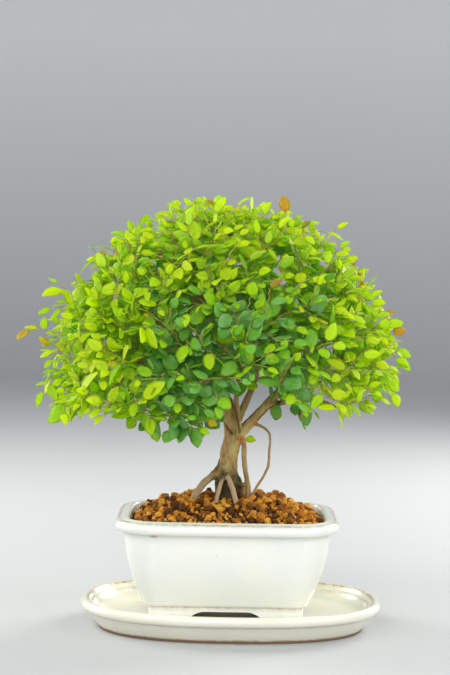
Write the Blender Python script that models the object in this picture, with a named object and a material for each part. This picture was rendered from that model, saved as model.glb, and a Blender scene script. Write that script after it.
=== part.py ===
"""Chinese sweet plum bonsai in its glazed pot on an oval saucer. Metres, +Z up."""
import math

import bmesh
import bpy
from mathutils import Vector, noise

GAP = 0.0003  # air left between pieces that touch
OBJECT_NAME = "chinese_sweet_plum_bonsai"

# Saucer
SAUCER_LENGTH = 0.269
SAUCER_DEPTH = 0.195
SAUCER_OVAL = 2.40  # superellipse power of its outline
SAUCER_FLOOR = 0.0125
SAUCER_LIP_TOP = 0.0255

# Pot
POT_X = -0.0043  # the pot stands a little off the saucer's middle
POT_BOTTOM = SAUCER_FLOOR + GAP
POT_BODY_BOTTOM = 0.0254
POT_RIM_BOTTOM = 0.0912
POT_FLOOR_UNDER = 0.0222
POT_FLOOR = 0.0290
POT_WALL = 0.0052
BODY_FOOT = (0.0710, 0.0515)  # half length and half depth where the body meets its foot
BODY_TOP = (0.0908, 0.0690)  # the same under the rim
PANEL = (0.0625, 0.0440)  # half length of the flat panels, front and side
BELLY_POWER = 2.0
CORNER_POWER = 1.75
CORNER_LEAST = 0.005  # a corner never gets tighter than this
ARCH_HALF = (0.0290, 0.0170)  # half width of the foot's arches, front and side
ARCH_TOP = 0.0218
ARCH_FLARE = 0.0040  # how much wider each side of an arch is at its foot
ARCH_REACH = (0.090, 0.110)  # half length of the cuts, front to back and left to right
# the pot's inside, floor to rim: rows of (height, growth of its outline)
INSIDE = [(POT_FLOOR, -POT_WALL - 0.0060), (0.0315, -POT_WALL - 0.0016)]
INSIDE += [(z, -POT_WALL) for z in (0.0360, 0.0440, 0.0560, 0.0720, 0.0880)]
DRAIN_X = 0.036
DRAIN_RADIUS = 0.008
DRAIN_PAST = 0.004  # how far a hole's cutter passes the floor

# Soil
SOIL_AIR = 0.0005  # between the grains and the pot's wall
SOIL_EDGE = 0.0970
SOIL_TOP = 0.1205
SOIL_CREST = (-0.002, 0.002)

# Drain screens and their wires
SCREEN_SIDE = 0.024
SCREEN_THICK = 0.0009
SCREEN_HOLES = 4
SCREEN_HOLE = 0.0036
WIRE_RADIUS = 0.0006

# Crown
CROWN_CENTRE = Vector((-0.010, 0.0, 0.205))
CROWN_HALF = Vector((0.170, 0.142, 0.184))  # half length, half depth and height above the centre
CROWN_LUMP = 0.06  # how far the dome's surface swells and dips, as a share of its size
FLOOR_LEFT = 0.166  # lowest leaves left and right of the trunk
FLOOR_RIGHT = 0.183
NOTCH = (0.018, 0.034, 0.044)  # open space round the limbs: middle, half width, extra height
PAD_AIR = 0.0004
PAD_DETAIL = 3  # subdivisions of a leaf mass
PAD_OUT = 0.055  # a leaf mass before its neighbours and the dome trim it: outwards,
PAD_IN = 0.036  # towards the trunk,
PAD_SIDE = 0.070  # and sideways

# Trunk, limbs and roots: (x, y, z, radius) in metres
THIN_WOOD = 0.0029  # radius under which wood gets fewer sides
TRUNK = [
    (-0.003, 0.000, 0.104, 0.0100), (-0.005, 0.000, 0.122, 0.0112), (-0.0055, 0.000, 0.138, 0.0094),
    (-0.003, 0.000, 0.157, 0.0084), (0.000, 0.000, 0.172, 0.0080), (-0.0035, 0.000, 0.190, 0.0068),
    (-0.006, 0.000, 0.201, 0.0060), (-0.013, 0.000, 0.211, 0.0052),
]
LIMBS = {
    "left": [(-0.012, 0.000, 0.209, 0.0050), (-0.025, -0.002, 0.219, 0.0044),
             (-0.050, -0.006, 0.232, 0.0036), (-0.076, -0.008, 0.244, 0.0029)],
    "left_front": [(-0.016, -0.001, 0.212, 0.0036), (-0.028, -0.018, 0.222, 0.0032),
                   (-0.042, -0.044, 0.234, 0.0026)],
    "left_back": [(-0.016, 0.001, 0.212, 0.0036), (-0.030, 0.022, 0.226, 0.0031),
                  (-0.044, 0.048, 0.240, 0.0026)],
    "leader": [(-0.009, 0.001, 0.206, 0.0042), (-0.014, 0.004, 0.228, 0.0036),
               (-0.010, 0.003, 0.254, 0.0031), (-0.014, 0.002, 0.282, 0.0026)],
    "right": [(0.001, 0.000, 0.168, 0.0058), (0.012, -0.001, 0.180, 0.0048),
              (0.030, -0.003, 0.200, 0.0043), (0.046, -0.004, 0.217, 0.0038),
              (0.070, -0.006, 0.236, 0.0030)],
    "right_low": [(0.028, -0.003, 0.198, 0.0032), (0.044, -0.010, 0.203, 0.0028),
                  (0.064, -0.014, 0.207, 0.0024)],
    "right_back": [(0.040, -0.002, 0.211, 0.0034), (0.046, 0.020, 0.226, 0.0029),
                   (0.050, 0.046, 0.240, 0.0025)],
    "middle": [(0.003, 0.002, 0.184, 0.0040), (0.011, 0.008, 0.201, 0.0034),
               (0.019, 0.016, 0.222, 0.0030), (0.024, 0.026, 0.256, 0.0025)],
    "front_stem": [(0.005, -0.004, 0.170, 0.0038), (0.004, -0.010, 0.186, 0.0028),
                   (0.002, -0.014, 0.206, 0.0025), (0.004, -0.026, 0.232, 0.0022)],
}
ROOTS = {
    "surface_left": [(-0.006, -0.002, 0.146, 0.0050), (-0.015, -0.005, 0.1375, 0.0040),
                     (-0.026, -0.010, 0.129, 0.0034), (-0.034, -0.015, 0.117, 0.0033),
                     (-0.038, -0.018, 0.108, 0.0026)],
    "arch_right": [(-0.005, -0.004, 0.141, 0.0030), (-0.004, -0.0125, 0.135, 0.0026),
                   (0.000, -0.0175, 0.126, 0.0024), (0.003, -0.0205, 0.115, 0.0023),
                   (0.005, -0.023, 0.107, 0.0018)],
    "arch_left": [(-0.005, -0.008, 0.138, 0.0027), (-0.0095, -0.013, 0.132, 0.0021),
                  (-0.0125, -0.017, 0.123, 0.0019), (-0.015, -0.020, 0.110, 0.0016)],
    "back": [(-0.002, 0.002, 0.140, 0.0052), (0.004, 0.014, 0.128, 0.0040),
             (0.010, 0.027, 0.116, 0.0034), (0.014, 0.036, 0.106, 0.0026)],
    "base_right": [(-0.001, 0.001, 0.138, 0.0056), (0.005, 0.002, 0.127, 0.0048),
                   (0.012, 0.004, 0.115, 0.0038), (0.017, 0.006, 0.106, 0.0028)],
    "aerial_thick": [(0.004, -0.001, 0.178, 0.0030), (0.0095, -0.004, 0.168, 0.0024),
                     (0.0100, -0.005, 0.153, 0.0023), (0.0115, -0.006, 0.140, 0.0023),
                     (0.0140, -0.007, 0.127, 0.0026), (0.0145, -0.007, 0.116, 0.0026),
                     (0.0150, -0.007, 0.106, 0.0020)],
    "cross_link": [(0.001, -0.002, 0.131, 0.0024), (0.007, -0.0055, 0.1275, 0.0020),
                   (0.0135, -0.007, 0.129, 0.0019)],
    "aerial_thin": [(0.014, -0.001, 0.182, 0.0018), (0.023, -0.004, 0.1815, 0.0014),
                    (0.0325, -0.006, 0.1745, 0.0012), (0.0325, -0.007, 0.160, 0.0012),
                    (0.0315, -0.008, 0.144, 0.0013), (0.0245, -0.009, 0.131, 0.0012),
                    (0.0170, -0.010, 0.118, 0.0013), (0.0150, -0.010, 0.108, 0.0011)],
}

# Leaf masses: name, direction (degrees round Z from +X, degrees up), reach as a share of the
# crown's half sizes, and the limb that its branch leaves
PADS = [
    ("top", 95, 84, 0.70, "leader"),
    ("upper_right", 8, 52, 0.69, "middle"), ("upper_back_right", 68, 50, 0.69, "middle"),
    ("upper_back_left", 128, 52, 0.69, "leader"), ("upper_left", 184, 51, 0.69, "leader"),
    ("upper_front_left", 240, 49, 0.69, "leader"), ("upper_front_right", 306, 50, 0.69, "front_stem"),
    ("right", 0, 17, 0.73, "right"), ("back_right", 45, 19, 0.72, "right_back"),
    ("back", 90, 18, 0.72, "middle"), ("back_left", 135, 18, 0.72, "left_back"),
    ("left", 180, 14, 0.74, "left"), ("front_left", 222, 15, 0.72, "left_front"),
    ("front", 268, 21, 0.72, "front_stem"), ("front_right", 315, 17, 0.72, "right"),
    ("skirt_right", 342, -5, 0.73, "right_low"), ("skirt_back_right", 26, -5, 0.72, "right_back"),
    ("skirt_back", 100, -2, 0.70, "left_back"), ("skirt_back_left", 156, -8, 0.72, "left_back"),
    ("skirt_left", 196, -9, 0.74, "left"), ("skirt_front_left", 236, -9, 0.72, "left_front"),
    ("skirt_front_right", 302, -5, 0.72, "right_low"),
]
BRANCH_INTO = 0.86  # share of the way to its leaf mass's middle that a branch goes
BRANCH_ARCH = 0.08  # rise at mid length, as a share of its length
BRANCH_TAPER = (0.92, 0.66, 0.46)  # radius along it, as shares of its limb's end
SHOOT_PAD = "left"  # this mass ends in the long shoot at the crown's left edge
SHOOT_REACH = 0.032
SHOOT_WAY = Vector((-0.985, 0.0, 0.17))

COLOURS = {
    "glaze": ((0.86, 0.87, 0.80), 0.25), "tray_glaze": ((0.78, 0.77, 0.68), 0.25),
    "grains": ((0.36, 0.15, 0.03), 0.95), "bark": ((0.30, 0.20, 0.10), 0.85),
    "leaves": ((0.24, 0.42, 0.03), 0.45), "screen": ((0.02, 0.02, 0.02), 0.6),
    "wire": ((0.60, 0.60, 0.62), 0.35),
}


def new_collection(name):
    made = bpy.data.collections.new(name)
    bpy.context.scene.collection.children.link(made)
    return made


def material(name, kind):
    colour, roughness = COLOURS[kind]
    made = bpy.data.materials.new(name)
    made.use_nodes = True
    shader = made.node_tree.nodes["Principled BSDF"]
    shader.inputs["Base Color"].default_value = (*colour, 1.0)
    shader.inputs["Roughness"].default_value = roughness
    shader.inputs["Metallic"].default_value = 1.0 if kind == "wire" else 0.0
    made.diffuse_color = (*colour, 1.0)
    return made


def add_mesh(name, bm, collection, kind=None, smooth=True):
    """Turn a bmesh into an object of the collection, with a material if a kind is given."""
    mesh = bpy.data.meshes.new(name)
    bm.to_mesh(mesh)
    bm.free()
    if smooth:
        mesh.shade_smooth()
    obj = bpy.data.objects.new(name, mesh)
    collection.objects.link(obj)
    if kind:
        mesh.materials.append(material(name, kind))
    return obj


def as_cutter(obj):
    obj.hide_render = True
    obj.display_type = "WIRE"
    return obj


def boolean(obj, operation, other):
    """Live Boolean with one object, or with all the objects of a collection."""
    cut = obj.modifiers.new(operation.lower(), "BOOLEAN")
    cut.operation = operation
    cut.solver = "EXACT"
    if isinstance(other, bpy.types.Collection):
        cut.operand_type = "COLLECTION"
        cut.collection = other
    else:
        cut.object = other


def loft(loops):
    """Closed skin over loops of equal length, with a flat face at each end."""
    bm = bmesh.new()
    rings = [[bm.verts.new(point) for point in loop] for loop in loops]
    for low, high in zip(rings, rings[1:]):
        for i, corner in enumerate(low):
            j = (i + 1) % len(low)
            bm.faces.new((corner, low[j], high[j], high[i]))
    bm.faces.new(list(reversed(rings[0])))
    bm.faces.new(rings[-1])
    bmesh.ops.recalc_face_normals(bm, faces=bm.faces)
    return bm


def oval(half_x, half_y, z, power, count):
    """Superellipse loop, even in angle."""
    loop = []
    for i in range(count):
        angle = math.tau * i / count
        c, s = math.cos(angle), math.sin(angle)
        x = half_x * math.copysign(abs(c) ** (2 / power), c)
        y = half_y * math.copysign(abs(s) ** (2 / power), s)
        loop.append((x, y, z))
    return loop


def make_saucer(parts):
    """Oval tray: rows of (inset from the outline, height), from under the middle to the floor."""
    rows = [
        (0.0360, 0.0055), (0.0270, 0.0050), (0.0245, 0.0006), (0.0232, 0.0),
        (0.0162, 0.0), (0.0154, 0.0008), (0.0152, 0.0022), (0.0142, 0.0025), (0.0104, 0.0090),
        (0.0066, 0.0142), (0.0054, 0.0159), (0.0026, 0.0167), (0.0006, 0.0186), (0.0, 0.0212),
        (0.0006, 0.0236), (0.0022, 0.0251), (0.0044, SAUCER_LIP_TOP), (0.0064, 0.0249),
        (0.0077, 0.0228), (0.0088, 0.0208), (0.0104, 0.0197), (0.0130, 0.0160), (0.0170, 0.0134),
        (0.0230, SAUCER_FLOOR),
    ]
    half = (SAUCER_LENGTH / 2, SAUCER_DEPTH / 2)
    loops = [oval(half[0] - inset, half[1] - inset, z, SAUCER_OVAL, 40) for inset, z in rows]
    return add_mesh("saucer", loft(loops), parts, "tray_glaze")


def belly(z):
    """Half length and half depth of the pot's body at a height."""
    share = (z - POT_BODY_BOTTOM) / (POT_RIM_BOTTOM - POT_BODY_BOTTOM)
    share = min(max(share, 0.0), 1.0)
    swell = 1 - (1 - share) ** BELLY_POWER
    return [foot + (top - foot) * swell for foot, top in zip(BODY_FOOT, BODY_TOP)]


def pot_loop(z, grow, height=None):
    """Outline with straight panels and soft canted corners, grown outwards by a distance."""
    half_x, half_y = (half + grow for half in belly(z))
    panel_x, panel_y = min(PANEL[0], half_x - CORNER_LEAST), min(PANEL[1], half_y - CORNER_LEAST)
    reach_x, reach_y = half_x - panel_x, half_y - panel_y
    loop = []
    for quarter in range(4):
        sign_x = 1 if quarter in (0, 3) else -1
        sign_y = 1 if quarter < 2 else -1
        for step in range(8):
            angle = math.pi / 2 * step / 7
            if quarter % 2:
                angle = math.pi / 2 - angle
            x = panel_x + reach_x * math.cos(angle) ** (2 / CORNER_POWER)
            y = panel_y + reach_y * math.sin(angle) ** (2 / CORNER_POWER)
            loop.append((POT_X + sign_x * x, sign_y * y, z if height is None else height))
    return loop


def arch_cutter(name, half_width, length, along_x, cutters):
    """Bar with sloping sides that opens the foot, lying along X or along Y."""
    low, high = POT_BOTTOM - 0.002, ARCH_TOP
    foot = half_width + ARCH_FLARE
    outline = [(-foot, low), (foot, low), (half_width, high), (-half_width, high)]
    ends = [[(POT_X + end, x, z) if along_x else (POT_X + x, end, z) for x, z in outline]
            for end in (-length, length)]
    return as_cutter(add_mesh(name, loft(ends), cutters))


def cylinder(name, x, radius, low, high, cutters):
    bm = bmesh.new()
    bmesh.ops.create_cone(bm, cap_ends=True, segments=20, radius1=radius, radius2=radius,
                          depth=high - low)
    bmesh.ops.translate(bm, verts=bm.verts, vec=(x, 0, (low + high) / 2))
    return as_cutter(add_mesh(name, bm, cutters))


def make_pot(parts, cutters):
    """One skin from under the floor, round the foot, up the body, over the rim and down inside."""
    rim = POT_RIM_BOTTOM
    rows = [
        (POT_BODY_BOTTOM, -0.0130, POT_FLOOR_UNDER), (POT_BODY_BOTTOM, -0.0115, POT_BOTTOM + 0.001),
        (POT_BODY_BOTTOM, -0.0108, POT_BOTTOM), (POT_BODY_BOTTOM, -0.0046, POT_BOTTOM),
        (POT_BODY_BOTTOM, -0.0038, POT_BOTTOM + 0.001), (POT_BODY_BOTTOM, -0.0026, 0.0238),
        (POT_BODY_BOTTOM, -0.0024, 0.0250),
    ]
    rows += [(z, -0.0006 if z < 0.026 else 0.0, z)
             for z in (POT_BODY_BOTTOM, 0.0290, 0.0345, 0.0420, 0.0520, 0.0640, 0.0780, 0.0880)]
    rows += [
        (rim, 0.0004, rim), (rim, 0.0050, rim + 0.0010), (rim, 0.0074, rim + 0.0028),
        (rim, 0.0081, rim + 0.0052), (rim, 0.0078, rim + 0.0080), (rim, 0.0062, rim + 0.0098),
        (rim, 0.0030, rim + 0.0107), (rim, -0.0018, rim + 0.0114), (rim, -0.0040, rim + 0.0110),
        (rim, -0.0051, rim + 0.0092),
    ]
    rows += [(z, grow, z) for z, grow in reversed(INSIDE)]
    loops = [pot_loop(z, grow, height) for z, grow, height in rows]
    pot = add_mesh("pot", loft(loops), parts, "glaze")
    for i, name in enumerate(("arch_front_back", "arch_left_right")):
        boolean(pot, "DIFFERENCE", arch_cutter(name, ARCH_HALF[i], ARCH_REACH[i], i == 1, cutters))
    for side, x in (("left", POT_X - DRAIN_X), ("right", POT_X + DRAIN_X)):
        hole = cylinder(f"drain_{side}", x, DRAIN_RADIUS, POT_FLOOR_UNDER - DRAIN_PAST,
                        POT_FLOOR + DRAIN_PAST, cutters)
        boolean(pot, "DIFFERENCE", hole)
    return pot


def box_between(low, high):
    bm = bmesh.new()
    size = [b - a for a, b in zip(low, high)]
    bmesh.ops.create_cube(bm, size=1)
    bmesh.ops.scale(bm, verts=bm.verts, vec=size)
    bmesh.ops.translate(bm, verts=bm.verts, vec=[(a + b) / 2 for a, b in zip(low, high)])
    return bm


def screen_box(x, spread, low, high):
    half = SCREEN_SIDE / 2 + spread
    return box_between((x - half, -half, low), (x + half, half, high))


def make_screen(side, x, parts, cutters):
    """Square mesh plate over a drain hole; its holes are one cutter of separate bars."""
    low = POT_FLOOR + GAP
    plate = add_mesh(f"drain_screen_{side}", screen_box(x, 0.0, low, low + SCREEN_THICK), parts,
                     "screen", smooth=False)
    pitch = SCREEN_SIDE / (SCREEN_HOLES + 0.35)
    bars = bmesh.new()
    for i in range(SCREEN_HOLES):
        for j in range(SCREEN_HOLES):
            at = [(k - (SCREEN_HOLES - 1) / 2) * pitch for k in (i, j)]
            made = bmesh.ops.create_cube(bars, size=SCREEN_HOLE)["verts"]
            bmesh.ops.translate(bars, verts=made, vec=(x + at[0], at[1], low))
    boolean(plate, "DIFFERENCE", as_cutter(add_mesh(f"screen_holes_{side}", bars, cutters)))
    return plate


def curve_mesh(name, points, collection, sides_step, extra=0.0, kind=None):
    """Tube with filled caps along points of (x, y, z, radius), turned into a closed mesh."""
    curve = bpy.data.curves.new(name, "CURVE")
    curve.dimensions = "3D"
    curve.bevel_depth = 1.0
    curve.bevel_resolution = sides_step
    curve.use_fill_caps = True
    spline = curve.splines.new("POLY")
    spline.points.add(len(points) - 1)
    for point, (x, y, z, radius) in zip(spline.points, points):
        point.co = (x, y, z, 1.0)
        point.radius = radius + extra
    guide = bpy.data.objects.new(name + "_route", curve)
    collection.objects.link(guide)
    bpy.context.view_layer.update()
    evaluated = guide.evaluated_get(bpy.context.evaluated_depsgraph_get())
    bm = bmesh.new()
    bm.from_mesh(bpy.data.meshes.new_from_object(evaluated))
    bmesh.ops.remove_doubles(bm, verts=bm.verts, dist=0.00001)
    bmesh.ops.recalc_face_normals(bm, faces=bm.faces)
    bpy.data.objects.remove(guide)
    bpy.data.curves.remove(curve)
    return add_mesh(name, bm, collection, kind)


def make_screen_wire(side, x, parts):
    """Staple over the screen: two legs go down through it and the drain hole and turn out."""
    leg = SCREEN_SIDE / (SCREEN_HOLES + 0.35) / 2
    top = POT_FLOOR + GAP + SCREEN_THICK + GAP + WIRE_RADIUS
    turn = POT_FLOOR_UNDER - GAP - WIRE_RADIUS
    out = DRAIN_RADIUS + 0.003
    route = [(-out, turn), (-leg - 0.0008, turn), (-leg, turn + 0.001), (-leg, top - 0.0008),
             (-leg + 0.0008, top), (leg - 0.0008, top), (leg, top - 0.0008), (leg, turn + 0.001),
             (leg + 0.0008, turn), (out, turn)]
    points = [(x + dx, -leg, z, WIRE_RADIUS) for dx, z in route]
    return curve_mesh(f"screen_wire_{side}", points, parts, 1, kind="wire")


def smooth_route(points, steps):
    """Catmull-Rom points through a route of (x, y, z, radius)."""
    keys = [Vector(p) for p in points]
    keys = [keys[0] * 2 - keys[1]] + keys + [keys[-1] * 2 - keys[-2]]
    route = []
    for a, b, c, d in zip(keys, keys[1:], keys[2:], keys[3:]):
        for i in range(steps):
            t = i / steps
            route.append(0.5 * (2 * b + (c - a) * t + (2 * a - 5 * b + 4 * c - d) * t * t
                                + (3 * b - 3 * c + d - a) * t ** 3))
    route.append(keys[-2])
    return route


def pad_direction(turn, rise):
    turn, rise = math.radians(turn), math.radians(rise)
    return Vector((math.cos(turn) * math.cos(rise), math.sin(turn) * math.cos(rise), math.sin(rise)))


def pad_centre(pad):
    name, turn, rise, reach, limb = pad
    way = pad_direction(turn, rise)
    return CROWN_CENTRE + Vector([a * b * reach for a, b in zip(way, CROWN_HALF)])


def branch_route(pad):
    """Branch from its limb's end into the leaf mass, rising first and then levelling out."""
    start = Vector(LIMBS[pad[4]][-1])
    origin = start.xyz
    end = origin.lerp(pad_centre(pad), BRANCH_INTO)
    middle = origin.lerp(end, 0.5) + Vector((0.0, 0.0, BRANCH_ARCH * (end - origin).length))
    return [(*spot, start.w * share) for spot, share in zip((origin, middle, end), BRANCH_TAPER)]


def wood_routes():
    """Every limb, branch and root but the trunk, as smooth routes."""
    routes = {name: smooth_route(points, 2) for name, points in LIMBS.items()}
    routes.update({"root_" + name: smooth_route(points, 2) for name, points in ROOTS.items()})
    routes.update({"branch_" + pad[0]: smooth_route(branch_route(pad), 2) for pad in PADS})
    return routes


def make_wood(name, extra, collection, pieces, kind=None):
    """Trunk joined with all its limbs and roots, each thickened by an extra radius."""
    trunk = curve_mesh(name, smooth_route(TRUNK, 2), collection, 3, extra, kind)
    for part, route in wood_routes().items():
        sides_step = 2 if max(point[3] for point in route) > THIN_WOOD else 1
        as_cutter(curve_mesh(f"{name}_{part}", route, pieces, sides_step, extra))
    boolean(trunk, "UNION", pieces)
    return trunk


def soil_height(x, y, share):
    """Mound that falls from the crest by the tree to the edge along the pot's wall."""
    dome = (1 - share ** 2.2) ** 0.85
    lump = 0.0012 * noise.noise(Vector((x, y, 0.0)) * 45)
    return SOIL_EDGE + (SOIL_TOP - SOIL_EDGE) * dome + lump * (1 - share)


def make_soil(parts, room, cutters):
    loops = [pot_loop(z, grow - SOIL_AIR, z + (GAP if z == POT_FLOOR else 0.0))
             for z, grow in INSIDE]
    edge = pot_loop(POT_RIM_BOTTOM, -POT_WALL - SOIL_AIR)
    for share in (1.0, 0.86, 0.70, 0.52, 0.34, 0.16):
        ring = []
        for x, y, z in edge:
            x = SOIL_CREST[0] + (x - SOIL_CREST[0]) * share
            y = SOIL_CREST[1] + (y - SOIL_CREST[1]) * share
            ring.append((x, y, soil_height(x, y, share)))
        loops.append(ring)
    soil = add_mesh("soil", loft(loops), parts, "grains")
    boolean(soil, "DIFFERENCE", room)
    top = POT_FLOOR + SCREEN_THICK + 2 * WIRE_RADIUS + 4 * GAP
    for side, x in (("left", POT_X - DRAIN_X), ("right", POT_X + DRAIN_X)):
        pocket = add_mesh(f"pocket_{side}", screen_box(x, GAP, POT_FLOOR - 0.001, top), cutters)
        boolean(soil, "DIFFERENCE", as_cutter(pocket))
    return soil


def crown_floor(spot):
    """Height of the lowest leaves: lower on the left, open round the limbs."""
    share = min(max((spot.x + 0.02) / 0.10, 0.0), 1.0)
    middle, half_width, extra = NOTCH
    notch = extra * math.exp(-((spot.x - middle) / half_width) ** 2)
    lump = 0.006 * noise.noise(Vector((spot.x, spot.y, 0.0)) * 30)
    return FLOOR_LEFT + (FLOOR_RIGHT - FLOOR_LEFT) * share + notch + lump


def in_crown(spot):
    """Whether a place lies inside the dome and above its floor."""
    away = spot - CROWN_CENTRE
    size = math.sqrt(sum((a / b) ** 2 for a, b in zip(away, CROWN_HALF)))
    limit = 1 + CROWN_LUMP * noise.noise(away.normalized() * 3.4)
    return size < limit and spot.z > crown_floor(spot)


def pad_reach(way, centre, others, phase):
    """How far a leaf mass goes in a direction before its own shape, the crown or a neighbour."""
    outward = (centre - CROWN_CENTRE).normalized()
    along = way.dot(outward)
    depth = PAD_OUT if along > 0 else PAD_IN
    reach = 1 / math.sqrt((along / depth) ** 2 + (1 - along ** 2) / PAD_SIDE ** 2)
    reach *= 1 + 0.12 * noise.noise(way * 2.1 + Vector((phase, 0, 0)))
    for other in others:
        apart = other - centre
        toward = way.dot(apart)
        if toward > 0:
            reach = min(reach, (apart.length_squared / 2 - PAD_AIR / 2 * apart.length) / toward)
    low, high = 0.0, reach
    for _ in range(16):
        middle = (low + high) / 2
        low, high = (middle, high) if in_crown(centre + way * middle) else (low, middle)
    return low


def make_pad(index, pad, centres, parts, room):
    centre = centres[index]
    others = centres[:index] + centres[index + 1:]
    bm = bmesh.new()
    bmesh.ops.create_icosphere(bm, subdivisions=PAD_DETAIL, radius=1)
    for vert in bm.verts:
        way = vert.co.normalized()
        reach = pad_reach(way, centre, others, index * 1.7)
        if pad[0] == SHOOT_PAD:
            reach += SHOOT_REACH * max(0.0, way.dot(SHOOT_WAY)) ** 40
        vert.co = centre + way * reach
    obj = add_mesh("foliage_" + pad[0], bm, parts, "leaves")
    boolean(obj, "DIFFERENCE", room)
    return obj


def centre_on_origin(parts):
    """Shift everything so that the origin is the middle of the whole object's base."""
    bpy.context.view_layer.update()
    graph = bpy.context.evaluated_depsgraph_get()
    corners = []
    for obj in parts.objects:
        solid = obj.evaluated_get(graph)
        corners += [solid.matrix_world @ Vector(corner) for corner in solid.bound_box]
    spans = [(min(c[axis] for c in corners), max(c[axis] for c in corners)) for axis in range(3)]
    shift = Vector((-sum(spans[0]) / 2, -sum(spans[1]) / 2, -spans[2][0]))
    stand = bpy.data.objects.new("bonsai", None)
    bpy.context.scene.collection.objects.link(stand)
    for obj in bpy.data.objects:
        if obj.type == "MESH":
            obj.parent = stand
    stand.location = shift


def main():
    for obj in list(bpy.data.objects):
        bpy.data.objects.remove(obj)
    parts = new_collection(OBJECT_NAME)
    cutters = new_collection("cutters")
    wood = new_collection("limbs_and_roots")
    wide_wood = new_collection("room_for_limbs_and_roots")
    make_saucer(parts)
    make_pot(parts, cutters)
    for side, x in (("left", POT_X - DRAIN_X), ("right", POT_X + DRAIN_X)):
        make_screen(side, x, parts, cutters)
        make_screen_wire(side, x, parts)
    make_wood("tree", 0.0, parts, wood, "bark")
    room = as_cutter(make_wood("room", GAP, cutters, wide_wood))
    make_soil(parts, room, cutters)
    centres = [pad_centre(pad) for pad in PADS]
    for index, pad in enumerate(PADS):
        make_pad(index, pad, centres, parts, room)
    centre_on_origin(parts)


main()
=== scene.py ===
# Chinese sweet plum bonsai: glazed pot and saucer, porous grains, wood and leaves.
# Lengths are in metres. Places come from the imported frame.
import math
import random

import bmesh
import bpy
import numpy as np
from mathutils import Matrix, Vector, geometry, noise
from mathutils.bvhtree import BVHTree


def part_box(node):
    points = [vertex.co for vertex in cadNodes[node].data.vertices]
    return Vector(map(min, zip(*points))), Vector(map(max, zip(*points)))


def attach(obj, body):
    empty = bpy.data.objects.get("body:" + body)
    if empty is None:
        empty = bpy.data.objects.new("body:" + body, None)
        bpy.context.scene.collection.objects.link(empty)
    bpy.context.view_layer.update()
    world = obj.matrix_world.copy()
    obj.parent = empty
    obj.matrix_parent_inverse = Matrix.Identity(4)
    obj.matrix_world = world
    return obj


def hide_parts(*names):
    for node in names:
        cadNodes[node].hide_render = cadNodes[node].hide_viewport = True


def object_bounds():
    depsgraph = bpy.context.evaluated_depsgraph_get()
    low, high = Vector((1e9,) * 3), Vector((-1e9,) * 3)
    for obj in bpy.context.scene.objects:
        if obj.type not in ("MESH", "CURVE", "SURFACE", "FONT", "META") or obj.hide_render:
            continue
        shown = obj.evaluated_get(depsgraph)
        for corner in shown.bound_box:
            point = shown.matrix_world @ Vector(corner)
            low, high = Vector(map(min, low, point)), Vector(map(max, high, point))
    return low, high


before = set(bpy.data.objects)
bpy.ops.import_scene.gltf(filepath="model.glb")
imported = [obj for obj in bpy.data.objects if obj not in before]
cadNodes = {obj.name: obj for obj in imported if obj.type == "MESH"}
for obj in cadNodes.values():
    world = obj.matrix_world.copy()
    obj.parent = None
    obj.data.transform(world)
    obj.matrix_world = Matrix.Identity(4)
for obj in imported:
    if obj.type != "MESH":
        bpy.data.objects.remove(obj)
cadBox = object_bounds()
trayLow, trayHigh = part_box("saucer")
potLow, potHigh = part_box("pot")
trayMid = (trayLow + trayHigh) / 2
potMid = (potLow + potHigh) / 2
sameSpot = 0.00001  # points nearer than this are merged
crispAngle = 40  # edges sharper than this many degrees stay crisp
print("frame loaded:", len(cadNodes), "nodes")


# small helpers
def clearSelection():
    if bpy.context.object and bpy.context.object.mode != "OBJECT":
        bpy.ops.object.mode_set(mode="OBJECT")
    bpy.ops.object.select_all(action="DESELECT")


def pickOnly(piece):
    clearSelection()
    piece.select_set(True)
    bpy.context.view_layer.objects.active = piece


def nameIt(name):
    piece = bpy.context.object
    piece.name = name
    piece.data.name = name
    return piece


def openMesh():
    # edit mode with everything selected
    bpy.ops.object.mode_set(mode="EDIT")
    bpy.ops.mesh.select_all(action="SELECT")


def closeMesh():
    # all faces turned outwards, then back to object mode
    bpy.ops.mesh.select_all(action="SELECT")
    bpy.ops.mesh.normals_make_consistent(inside=False)
    bpy.ops.object.mode_set(mode="OBJECT")


def modify(piece, kind, **values):
    # one modifier, set and applied at once
    pickOnly(piece)
    modifier = piece.modifiers.new(kind.lower(), kind)
    for key, value in values.items():
        setattr(modifier, key, value)
    bpy.ops.object.modifier_apply(modifier=modifier.name)


def smoothFaces(mesh):
    mesh.polygons.foreach_set("use_smooth", np.full(len(mesh.polygons), True))


def smoothEdges(piece):
    pickOnly(piece)
    bpy.ops.object.shade_smooth_by_angle(angle=math.radians(crispAngle))


def finishPiece(piece, material, slotName, *replaced):
    piece.data.materials.clear()
    piece.data.materials.append(material)
    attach(piece, "root")
    if replaced:
        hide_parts(*replaced)
    return piece


def meshTree(mesh):
    # search tree over a mesh's faces
    points = [vert.co.copy() for vert in mesh.vertices]
    return BVHTree.FromPolygons(points, [tuple(face.vertices) for face in mesh.polygons])


def smoothStep(value, low, high):
    t = min(max((value - low) / (high - low), 0.0), 1.0)
    return t * t * (3 - 2 * t)


# nodes that the materials are built from
def newMaterial(name):
    material = bpy.data.materials.new(name)
    material.use_nodes = True
    return material, material.node_tree, material.node_tree.nodes["Principled BSDF"]


def addNode(tree, kind, **values):
    node = tree.nodes.new("ShaderNode" + kind)
    for key, value in values.items():
        if hasattr(node, key):
            setattr(node, key, value)
        else:
            node.inputs[key.replace("_", " ")].default_value = value
    return node


def feed(tree, source, target):
    # source is a socket, a number or a colour
    if isinstance(source, (int, float)):
        target.default_value = source
    elif isinstance(source, tuple):
        target.default_value = (*source, 1.0)
    else:
        tree.links.new(source, target)


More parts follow.
